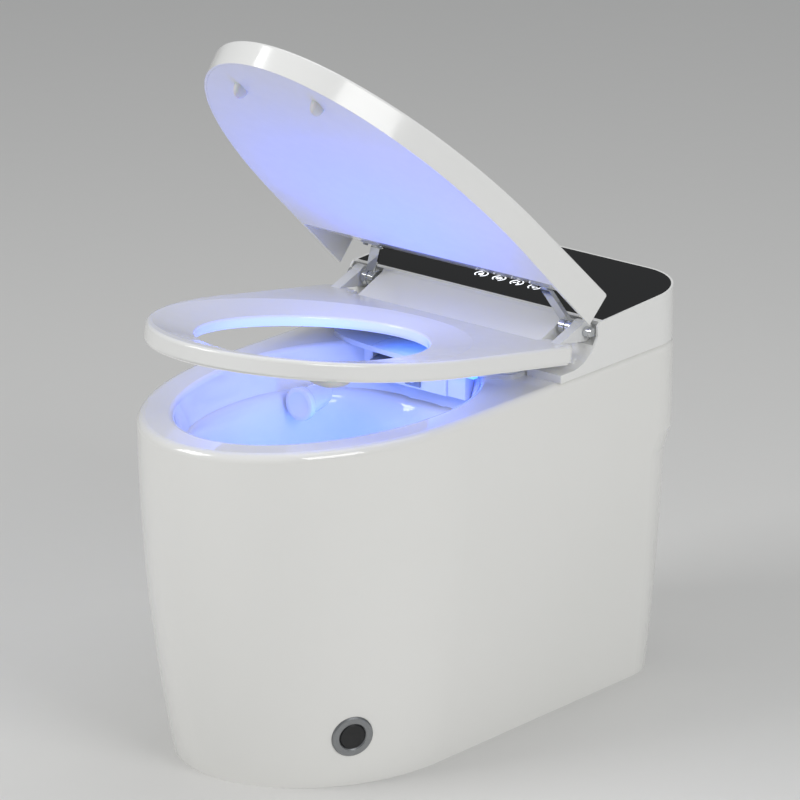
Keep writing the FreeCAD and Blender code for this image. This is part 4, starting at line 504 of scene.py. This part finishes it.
@dataclass
class TouchMarks:
    """Four lit marks that lie on the sloping glass.

    Attributes:
        places_mm: Where each mark's middle is across the glass.
        signs: What each mark shows.
        depth_mm: How far back the row lies.
        edge_mm: Width of the strips at the glass's front and back that its slope is read from.
        ring_mm: Radius of the open ring at its middle line.
        arc_deg: Sweep of each half of the ring.
        arc_points: Points along each half.
        stroke_mm: Width of every line.
        thick_mm: Height of the print above the glass.
        drop_mm: Radius of the drop's bulb, how far it hangs and height of its tip.
        drop_deg: Start and sweep of the bulb.
        drop_steps: Steps along the bulb.
        jets_mm: Place across and half length of each jet of the spray.
        blade_mm: Outline of one blade of the fan, outwards and sideways.
        blades: Number of blades.
        cross_mm: Half height and half width of the cross.
    """

    places_mm: tuple[float, ...] = (-31.5, -4.2, 23.1, 50.4)
    signs: tuple[Sign, ...] = (Sign.DROP, Sign.SPRAY, Sign.FAN, Sign.CROSS)
    depth_mm: float = 149.0
    edge_mm: float = 2.0
    ring_mm: float = 7.9
    arc_deg: float = 128.0
    arc_points: int = 40
    stroke_mm: float = 1.5
    thick_mm: float = 0.2
    drop_mm: Point = (3.0, 1.4, 5.4)
    drop_deg: Pair = (150.0, 240.0)
    drop_steps: int = 20
    jets_mm: tuple[Pair, ...] = ((-3.2, 2.6), (0.0, 4.4), (3.2, 2.6))
    blade_mm: tuple[Pair, ...] = ((0.7, -0.5), (4.6, -1.7), (5.2, 0.0), (4.6, 1.2), (0.7, 0.5))
    blades: int = 3
    cross_mm: Pair = (4.6, 4.2)

    def slope(self) -> Matrix:
        """Read the place and the slope of the row from the glass itself.

        Returns:
            The frame of the glass at the row.
        """
        low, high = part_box("control_glass")
        points = [vertex.co for vertex in frame["nodes"]["control_glass"].data.vertices]
        front = max(point.z for point in points if point.y < low.y + self.edge_mm * MM)
        back = max(point.z for point in points if point.y > high.y - self.edge_mm * MM)
        tilt = math.atan2(back - front, high.y - low.y)
        height = front + math.tan(tilt) * (self.depth_mm * MM - low.y)
        return Matrix.Translation((0.0, self.depth_mm * MM, height)) @ Matrix.Rotation(tilt, 4, "X")

    def rings(self, material: bpy.types.Material) -> bpy.types.Mesh:
        """Make the open rings.

        Args:
            material: Material of the print.

        Returns:
            All rings as one mesh, on the plane of the glass.
        """
        grower = Grower("touch_rings")
        grower.size("Radius", self.ring_mm * MM)
        grower.size("Stroke", self.stroke_mm * MM)
        grower.size("Pitch", (self.places_mm[1] - self.places_mm[0]) * MM)
        tree = grower.tree
        given = add_node(tree, "NodeGroupInput").outputs
        both = add_node(tree, "GeometryNodeJoinGeometry")
        for start in (-self.arc_deg / 2, 180 - self.arc_deg / 2):
            half = add_node(tree, "GeometryNodeCurveArc", {
                "Resolution": self.arc_points,
                "Start Angle": math.radians(start),
                "Sweep Angle": math.radians(self.arc_deg),
            }, {"Radius": given["Radius"]})
            tree.links.new(half.outputs["Curve"], both.inputs["Geometry"])
        profile = add_node(tree, "GeometryNodeCurvePrimitiveQuadrilateral",
                           {"Height": 2 * self.thick_mm * MM}, {"Width": given["Stroke"]})
        band = add_node(tree, "GeometryNodeCurveToMesh", {"Fill Caps": True},
                        {"Curve": both.outputs["Geometry"], "Profile Curve": profile.outputs["Curve"]})
        step = add_node(tree, "ShaderNodeCombineXYZ", links={"X": given["Pitch"]})
        grower.repeat(band.outputs["Mesh"], material, {
            "Count": len(self.places_mm),
            "Start Location": (self.places_mm[0] * MM, 0.0, 0.0),
        }, {"Offset": step.outputs["Vector"]})
        return grower.grow()

    def drop(self) -> list[Outline]:
        """Draw a hanging drop.

        Returns:
            Its closed outline in millimetres about the mark's middle.
        """
        radius, hang, tip = self.drop_mm
        start, sweep = self.drop_deg
        turns = [math.radians(start + sweep * step / self.drop_steps)
                 for step in range(self.drop_steps + 1)]
        bulb = [(radius * math.cos(turn), radius * math.sin(turn) - hang) for turn in turns]
        return [bulb + [(0.0, tip)]]

    def spray(self) -> list[Outline]:
        """Draw the jets of a spray.

        Returns:
            Their closed outlines in millimetres about the mark's middle.
        """
        half = self.stroke_mm / 2
        return [[(at - half, -reach), (at + half, -reach), (at + half, reach), (at - half, reach)]
                for at, reach in self.jets_mm]

    def fan(self) -> list[Outline]:
        """Draw the blades of a fan.

        Returns:
            Their closed outlines in millimetres about the mark's middle.
        """
        outlines = []
        for blade in range(self.blades):
            turn = math.radians(90 + 360 / self.blades * blade)
            along = Vector((math.cos(turn), math.sin(turn)))
            across = Vector((-along.y, along.x))
            outlines.append([tuple(along * out + across * side) for out, side in self.blade_mm])
        return outlines

    def cross(self) -> list[Outline]:
        """Draw a cross of one upright and two arms.

        Returns:
            Their closed outlines in millimetres about the mark's middle.
        """
        half = self.stroke_mm / 2
        rise, reach = self.cross_mm
        return [[(-half, -rise), (half, -rise), (half, rise), (-half, rise)],
                [(-reach, -half), (-half, -half), (-half, half), (-reach, half)],
                [(half, -half), (reach, -half), (reach, half), (half, half)]]

    def build(self, wardrobe: Wardrobe) -> None:
        """Lay the marks on the glass.

        Args:
            wardrobe: Gives the material of the print.
        """
        draw = {Sign.DROP: self.drop, Sign.SPRAY: self.spray, Sign.FAN: self.fan, Sign.CROSS: self.cross}
        material = wardrobe.material(LIT_PRINT)
        thick = self.thick_mm * MM
        shape = bmesh.new()
        rings = self.rings(material)
        shape.from_mesh(rings)
        bpy.data.meshes.remove(rings)
        for place, sign in zip(self.places_mm, self.signs):
            for outline in draw[sign]():
                low = [shape.verts.new(((place + u) * MM, v * MM, -thick)) for u, v in outline]
                high = [shape.verts.new(((place + u) * MM, v * MM, thick)) for u, v in outline]
                shape.faces.new(list(reversed(low)))
                shape.faces.new(high)
                for at in range(len(outline)):
                    after = (at + 1) % len(outline)
                    shape.faces.new((low[at], low[after], high[after], high[at]))
        bmesh.ops.transform(shape, matrix=self.slope(), verts=shape.verts)
        bmesh.ops.recalc_face_normals(shape, faces=shape.faces)
        mesh = bpy.data.meshes.new("touch_marks")
        shape.to_mesh(mesh)
        shape.free()
        mesh_object("touch_marks", mesh, material, "base")


@dataclass
class SupplyThread:
    """Pipe thread on the free end of the water inlet.

    Attributes:
        radius_mm: Radius of the inlet.
        pitch_mm: Pitch of a half-inch pipe thread.
        crest_mm: Height of each crest.
        turns: Number of crests.
        round_points: Points round the inlet.
        crest_points: Points round a crest.
    """

    radius_mm: float = 10.5
    pitch_mm: float = 1.814
    crest_mm: float = 0.45
    turns: int = 6
    round_points: int = 64
    crest_points: int = 6

    def build(self, wardrobe: Wardrobe) -> None:
        """Set the crests round the inlet.

        Args:
            wardrobe: Gives the material of the inlet.
        """
        material = wardrobe.material(BRASS)
        grower = Grower("inlet_thread")
        grower.size("Radius", self.radius_mm * MM)
        grower.size("Turns", self.turns, "NodeSocketInt")
        given = add_node(grower.tree, "NodeGroupInput").outputs
        ring = add_node(grower.tree, "GeometryNodeCurvePrimitiveCircle", {"Resolution": self.round_points},
                        {"Radius": given["Radius"]})
        crest = add_node(grower.tree, "GeometryNodeCurvePrimitiveCircle",
                         {"Resolution": self.crest_points, "Radius": self.crest_mm * MM})
        band = add_node(grower.tree, "GeometryNodeCurveToMesh",
                        links={"Curve": ring.outputs["Curve"], "Profile Curve": crest.outputs["Curve"]})
        grower.repeat(band.outputs["Mesh"], material, {"Offset": (0.0, 0.0, -self.pitch_mm * MM)},
                      {"Count": given["Turns"]})
        mesh = grower.grow()
        low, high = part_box("water_inlet")
        end = Vector(((low.x + high.x) / 2, high.y - self.crest_mm * MM * 2, (low.z + high.z) / 2))
        mesh.transform(Matrix.Translation(end) @ Matrix.Rotation(math.radians(-90), 4, "X"))
        mesh_object("inlet_thread", mesh, material, "base")


@dataclass
class LightChips:
    """Row of light chips on the lower face of the night light's lens.

    Attributes:
        side_mm: Side of one chip.
        pitch_mm: Distance from chip to chip.
        proud_mm: How far a chip stands out of the lens.
    """

    side_mm: float = 2.4
    pitch_mm: float = 5.0
    proud_mm: float = 0.4

    def build(self, wardrobe: Wardrobe) -> None:
        """Set the chips along the lens.

        Args:
            wardrobe: Gives the material of the chips.
        """
        low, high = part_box("night_light")
        count = int((high.x - low.x) / (self.pitch_mm * MM))
        material = wardrobe.material(LIGHT_CHIP)
        grower = Grower("light_chips")
        grower.size("Side", self.side_mm * MM)
        grower.size("Pitch", self.pitch_mm * MM)
        given = add_node(grower.tree, "NodeGroupInput").outputs
        bounds = add_node(grower.tree, "ShaderNodeCombineXYZ", {"Z": 2 * self.proud_mm * MM},
                          {"X": given["Side"], "Y": given["Side"]})
        chip = add_node(grower.tree, "GeometryNodeMeshCube", links={"Size": bounds.outputs["Vector"]})
        step = add_node(grower.tree, "ShaderNodeCombineXYZ", links={"X": given["Pitch"]})
        grower.repeat(chip.outputs["Mesh"], material, {"Count": count}, {"Offset": step.outputs["Vector"]})
        mesh = grower.grow()
        start = (low.x + high.x - (count - 1) * self.pitch_mm * MM) / 2
        mesh.transform(Matrix.Translation((start, (low.y + high.y) / 2, low.z)))
        mesh_object("light_chips", mesh, material, "base")


# Pieces skinned over rings


@dataclass
class SwirlLedge:
    """Ledge round the bowl that the flush water runs along.

    Attributes:
        middle_mm: How far back the point lies that the bowl is measured from.
        rear_mm: Depth and height of the crease at the rear of the bowl.
        front_mm: Depth and height of the crease at the front.
        profile_mm: Drop below the crease and stand-out from the wall, from the crease down.
        sink_mm: How far the hidden side lies in the china.
        spokes: Number of sections round the bowl.
    """

    middle_mm: float = -146.0
    rear_mm: Pair = (10.0, 360.0)
    front_mm: Pair = (-390.0, 387.0)
    profile_mm: tuple[Pair, ...] = (
        (0.0, -0.6), (0.4, 1.2), (1.6, 3.6), (4.0, 5.8), (9.0, 7.4),
        (18.0, 7.6), (30.0, 6.2), (46.0, 3.4), (60.0, 1.2), (70.0, -0.6),
    )
    sink_mm: float = 2.5
    spokes: int = 160

    def wall(self, china: BVHTree, turn: float, height_mm: float) -> float:
        """Measure from the middle to the bowl's wall, on the side that has no spout.

        Args:
            china: Mesh of the pan.
            turn: Direction in radians, from +X to +Y.
            height_mm: Height above the floor.

        Returns:
            The distance in millimetres.
        """
        start = Vector((0.0, self.middle_mm * MM, height_mm * MM))
        hit = china.ray_cast(start, Vector((abs(math.cos(turn)), math.sin(turn), 0.0)))
        return hit[3] / MM

    def section(self, china: BVHTree, turn: float) -> list[Vector]:
        """Draw the ledge's closed section in one direction.

        Args:
            china: Mesh of the pan.
            turn: Direction in radians, from +X to +Y.

        Returns:
            Its points, in metres.
        """
        rear, low = self.rear_mm
        front, high = self.front_mm
        depth = self.middle_mm + self.wall(china, turn, low) * math.sin(turn)
        share = min(1.0, max(0.0, (rear - depth) / (rear - front)))
        crease = low + (high - low) * math.sqrt(share)
        outer = []
        hidden = []
        for drop, proud in self.profile_mm:
            wall = self.wall(china, turn, crease - drop)
            for points, inward in ((outer, proud), (hidden, -self.sink_mm)):
                reach = wall - inward
                points.append(Vector((math.cos(turn) * reach, self.middle_mm + math.sin(turn) * reach,
                                      crease - drop)) * MM)
        return outer + hidden[::-1]

    def build(self, wardrobe: Wardrobe) -> None:
        """Run the ledge round the bowl.

        Args:
            wardrobe: Gives the material of the pan.
        """
        pan = frame["nodes"]["ceramic_pan"].data
        china = BVHTree.FromPolygons([vertex.co for vertex in pan.vertices],
                                     [list(face.vertices) for face in pan.polygons])
        rings = [self.section(china, math.tau * spoke / self.spokes) for spoke in range(self.spokes)]
        mesh_object("swirl_ledge", ring_mesh(rings, True), wardrobe.material(VITREOUS_CHINA), "base")


@dataclass
class SwirlSpout:
    """Round-ended spout on the far wall of the bowl.

    Attributes:
        face_mm: Middle of the round end.
        tail_mm: Middle of the end that is hidden in the china.
        profile_mm: Distance behind the face and radius, from the middle of the face to the tail.
        sides: Number of points round it.
    """

    face_mm: Point = (-99.5, -108.0, 365.8)
    tail_mm: Point = (-118.0, -24.0, 360.0)
    profile_mm: tuple[Pair, ...] = (
        (0.9, 0.4), (0.9, 13.6), (0.3, 14.4), (0.0, 15.2), (0.0, 19.4),
        (0.5, 20.3), (1.8, 20.6), (8.0, 20.6), (9.2, 20.2), (10.0, 19.0),
        (10.4, 16.8), (18.0, 16.4), (34.0, 16.0), (54.0, 15.0), (84.0, 13.0),
    )
    sides: int = 64

    def build(self, wardrobe: Wardrobe) -> None:
        """Turn the spout about its bent middle line.

        Args:
            wardrobe: Gives the material of the spout.
        """
        face = Vector(self.face_mm)
        tail = Vector(self.tail_mm)
        length = self.profile_mm[-1][0]
        turns = [math.tau * side / self.sides for side in range(self.sides)]
        rings = []
        for behind, radius in self.profile_mm:
            share = behind / length
            bend = share * share * (3 - 2 * share)
            middle = Vector((face.x + (tail.x - face.x) * bend, face.y + behind,
                             face.z + (tail.z - face.z) * bend))
            rings.append([(middle + Vector((radius * math.cos(turn), 0.0, radius * math.sin(turn)))) * MM
                          for turn in turns])
        piece = mesh_object("swirl_spout", ring_mesh(rings, False), wardrobe.material(UREA_WHITE), "base")
        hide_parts("swirl_jet")


@dataclass
class SlotCover:
    """Moulded cover in the chassis plate's slot, over the wand's guide and the dryer's duct.

    Attributes:
        low_mm: Front left corner of the slot.
        high_mm: Rear right corner, under the front of the housing.
        corner_mm: Radius of the cover's corners.
        corner_steps: Steps along each corner.
        profile_mm: Distance in from the slot's edge and height, from the hollow underside to the top.
    """

    low_mm: Pair = (-62.0, -18.6)
    high_mm: Pair = (42.6, 30.0)
    corner_mm: float = 3.0
    corner_steps: int = 8
    profile_mm: tuple[Pair, ...] = (
        (2.4, 424.0), (1.9, 422.4), (0.5, 422.4), (0.0, 422.8), (0.0, 425.0), (0.2, 425.4), (0.8, 425.7),
    )

    def outline(self, inset: float, height: float) -> list[Vector]:
        """Draw the rounded outline at one height.

        Args:
            inset: Distance in from the slot's edge, in millimetres.
            height: Height above the floor, in millimetres.

        Returns:
            Its points, in metres.
        """
        radius = self.corner_mm - inset
        margin = Vector((self.corner_mm, self.corner_mm))
        low = Vector(self.low_mm) + margin
        high = Vector(self.high_mm) - margin
        middles = ((high.x, high.y), (low.x, high.y), (low.x, low.y), (high.x, low.y))
        points = []
        for quarter, (across, along) in enumerate(middles):
            for step in range(self.corner_steps + 1):
                turn = math.radians(90 * (quarter + step / self.corner_steps))
                points.append(Vector((across + radius * math.cos(turn), along + radius * math.sin(turn),
                                      height)) * MM)
        return points

    def build(self, wardrobe: Wardrobe) -> None:
        """Set the cover in the slot.

        Args:
            wardrobe: Gives the material of the chassis.
        """
        rings = [self.outline(inset, height) for inset, height in self.profile_mm]
        mesh_object("slot_cover", ring_mesh(rings, False), wardrobe.material(ABS_SATIN), "base")


class Carrier(Enum):
    """Body that carries a set of buffers."""

    SEAT = "seat"
    LID = "lid"


@dataclass
class CrownedPads:
    """Crowned rubber buffers under the seat or the lid, each where the plain one sits.

    Attributes:
        piece: Name of the piece that holds them all.
        node: CAD node of the plain buffers.
        carrier: Body that carries them.
        sink_mm: How far each is set into its carrier.
        weld_mm: Distance below which corners of the plain buffers count as one.
        steps: Rings from the foot of a buffer to its crown.
        sides: Points round a buffer.
        squareness: How near the outline comes to a rectangle, 2 for an ellipse.
    """

    piece: str
    node: str
    carrier: Carrier
    sink_mm: float = 0.6
    weld_mm: float = 0.01
    steps: int = 9
    sides: int = 48
    squareness: float = 3.2

    def flat(self) -> Matrix:
        """Work out the turn about the hinge that lays the carrier flat.

        Returns:
            The turn, in the frame of the part.
        """
        joints = {joint["name"]: joint for joint in frame["record"]["behaviour"]["joints"]}
        turn = -joints["seat_hinge"]["range_deg"][0]
        if self.carrier is Carrier.LID:
            turn += joints["lid_hinge"]["range_deg"][1]
        pivot = Matrix.Translation(joints["seat_hinge"]["pos_m"])
        return pivot @ Matrix.Rotation(math.radians(turn), 4, "X") @ pivot.inverted()

    def plain(self) -> list[list[Vector]]:
        """Take the plain buffers apart.

        Returns:
            The points of each, with its carrier flat.
        """
        shape = bmesh.new()
        shape.from_mesh(frame["nodes"][self.node].data)
        bmesh.ops.remove_doubles(shape, verts=shape.verts, dist=self.weld_mm * MM)
        bmesh.ops.transform(shape, matrix=self.flat(), verts=shape.verts)
        seen = set()
        islands = []
        for first in shape.verts:
            if first in seen:
                continue
            seen.add(first)
            waiting = [first]
            island = []
            while waiting:
                vertex = waiting.pop()
                island.append(vertex.co.copy())
                for edge in vertex.link_edges:
                    other = edge.other_vert(vertex)
                    if other not in seen:
                        seen.add(other)
                        waiting.append(other)
            islands.append(island)
        shape.free()
        return islands

    def crown(self, island: list[Vector]) -> list[list[Vector]]:
        """Draw one crowned buffer in the place of a plain one.

        Args:
            island: Points of the plain buffer with its carrier flat.

        Returns:
            Its rings from the foot to the crown, with the carrier flat.
        """
        low = Vector([min(point[axis] for point in island) for axis in range(3)])
        high = Vector([max(point[axis] for point in island) for axis in range(3)])
        middle = (low + high) / 2
        half = (high - low) / 2
        power = 2 / self.squareness
        rings = []
        for step in range(self.steps):
            rise = math.radians(90) * step / self.steps
            height = high.z + self.sink_mm * MM * (step == 0) - (high.z - low.z) * math.sin(rise)
            ring = []
            for side in range(self.sides):
                turn = math.tau * side / self.sides
                across = math.copysign(abs(math.cos(turn)) ** power, math.cos(turn))
                along = math.copysign(abs(math.sin(turn)) ** power, math.sin(turn))
                ring.append(Vector((middle.x + half.x * across * math.cos(rise),
                                    middle.y + half.y * along * math.cos(rise), height)))
            rings.append(ring)
        return rings

    def build(self, wardrobe: Wardrobe) -> None:
        """Set a crowned buffer in the place of every plain one.

        Args:
            wardrobe: Gives the material of the buffers.
        """
        shape = bmesh.new()
        for island in self.plain():
            pad = ring_mesh(self.crown(island), False)
            shape.from_mesh(pad)
            bpy.data.meshes.remove(pad)
        bmesh.ops.transform(shape, matrix=self.flat().inverted(), verts=shape.verts)
        mesh = bpy.data.meshes.new(self.piece)
        shape.to_mesh(mesh)
        shape.free()
        pads = mesh_object(self.piece, mesh, wardrobe.material(SILICONE_PALE), self.carrier.value)
        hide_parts(self.node)


# Studio


class LampKind(Enum):
    """Form of a lamp, with Blender's name for it."""

    PANEL = "AREA"
    BULB = "POINT"


@dataclass(frozen=True)
class Lamp:
    """One lamp of the studio or of the night light's glow.

    Attributes:
        name: Name of the lamp.
        kind: Its form.
        place_m: Where it hangs.
        aim_m: Point that it looks at.
        watts: Its power.
        width_m: Its width.
        colour: Its colour as sRGB hex.
        mirrored: Whether glossy surfaces show its image.
    """

    name: str
    kind: LampKind
    place_m: Point
    aim_m: Point
    watts: float
    width_m: float
    colour: str = "#ffffff"
    mirrored: bool = True

    def hang(self) -> None:
        """Put the lamp in the scene."""
        light = bpy.data.lights.new(self.name, self.kind.value)
        light.energy = self.watts
        light.color = linear(self.colour)[:3]
        if self.kind is LampKind.PANEL:
            light.size = self.width_m
        else:
            light.shadow_soft_size = self.width_m
        holder = bpy.data.objects.new(self.name, light)
        holder.location = self.place_m
        away = Vector(self.aim_m) - Vector(self.place_m)
        holder.rotation_euler = away.to_track_quat("-Z", "Y").to_euler()
        holder.visible_camera = False
        holder.visible_glossy = self.mirrored
        bpy.context.scene.collection.objects.link(holder)


# Three softboxes, then the blue glow of the night light in the bowl, on the lid and on the chassis
LAMPS = (
    Lamp("key_softbox", LampKind.PANEL, (-1.6, -2.6, 2.8), (0.0, -0.05, 0.35), 56.0, 1.8),
    Lamp("side_softbox", LampKind.PANEL, (3.0, -0.8, 1.9), (0.0, -0.05, 0.35), 36.0, 1.6),
    Lamp("top_softbox", LampKind.PANEL, (0.2, 0.8, 3.2), (0.0, 0.0, 0.3), 18.0, 2.2),
    Lamp("bowl_glow", LampKind.BULB, (0.0, -0.13, 0.33), (0.0, -0.13, 0.0), 0.5, 0.03,
         "#3070ff", mirrored=False),
    Lamp("lid_glow", LampKind.PANEL, (0.0, -0.15, 0.425), (0.0, -0.22, 0.80), 0.8, 0.16,
         "#3a60ff", mirrored=False),
    Lamp("chassis_glow", LampKind.PANEL, (0.0, 0.0, 0.444), (0.0, 0.0, 0.40), 0.045, 0.09,
         "#3070ff", mirrored=False),
)


@dataclass
class Studio:
    """Floor, light and the camera of the photograph.

    Attributes:
        azimuth_deg: How far the camera stands round to +X from the front.
        elevation_deg: How far it stands above the target.
        target_mm: Point that it looks at.
        distance_mm: Its distance from the target.
        focal_px: Its focal length in pixels.
        frame_px: Width of its picture in pixels.
        sensor_mm: Width of its sensor.
        reach_m: How far it sees.
        floor_radius_m: Radius of the floor.
        floor_sides: Number of the floor's sides.
        sky: Colour of the light from all round, as sRGB hex.
        sky_strength: Strength of that light.
    """

    azimuth_deg: float = 40.09
    elevation_deg: float = 18.48
    target_mm: Point = (0.0, -40.0, 375.7)
    distance_mm: float = 7335.0
    focal_px: float = 6225.0
    frame_px: float = 800.0
    sensor_mm: float = 36.0
    reach_m: float = 100.0
    floor_radius_m: float = 30.0
    floor_sides: int = 96
    sky: str = "#eceef0"
    sky_strength: float = 0.42

    def floor(self) -> None:
        """Lay a plain pale floor."""
        mesh = bpy.data.meshes.new("studio_floor")
        shape = bmesh.new()
        bmesh.ops.create_circle(shape, cap_ends=True, segments=self.floor_sides,
                                radius=self.floor_radius_m)
        shape.to_mesh(mesh)
        shape.free()
        mesh.materials.append(FLOOR_PAINT.build())
        ground = bpy.data.objects.new("studio_floor", mesh)
        bpy.context.scene.collection.objects.link(ground)

    def light(self) -> None:
        """Set the light from all round and hang the lamps."""
        world = bpy.data.worlds.new("studio_world")
        world.use_nodes = True
        background = world.node_tree.nodes["Background"].inputs
        background["Color"].default_value = linear(self.sky)
        background["Strength"].default_value = self.sky_strength
        bpy.context.scene.world = world
        for lamp in LAMPS:
            lamp.hang()

    def camera(self) -> None:
        """Set the camera at the photograph's angle."""
        data = bpy.data.cameras.new("photo_camera")
        data.sensor_fit = "HORIZONTAL"
        data.sensor_width = self.sensor_mm
        data.lens = self.focal_px / self.frame_px * data.sensor_width
        data.clip_end = self.reach_m
        turn = math.radians(self.azimuth_deg)
        rise = math.radians(self.elevation_deg)
        level = math.cos(rise)
        away = Vector((math.sin(turn) * level, -math.cos(turn) * level, math.sin(rise)))
        target = Vector(self.target_mm) * MM
        holder = bpy.data.objects.new("photo_camera", data)
        holder.location = target + away * self.distance_mm * MM
        holder.rotation_euler = (-away).to_track_quat("-Z", "Y").to_euler()
        bpy.context.scene.collection.objects.link(holder)
        bpy.context.scene.camera = holder
        bpy.context.scene.view_settings.view_transform = "Standard"


def main() -> None:
    """Build every sub-assembly, then the studio."""
    logging.basicConfig(level=logging.INFO)
    wardrobe = Wardrobe()
    wardrobe.dress()
    assemblies = (
        SwirlLedge(),
        SwirlSpout(),
        SlotCover(),
        CrownedPads("seat_pads", "seat_buffers", Carrier.SEAT),
        CrownedPads("lid_pads", "lid_buffers", Carrier.LID),
        TouchMarks(),
        SupplyThread(),
        LightChips(),
    )
    for assembly in assemblies:
        assembly.build(wardrobe)
    studio = Studio()
    studio.floor()
    studio.light()
    studio.camera()


if __name__ == "__main__":
    main()
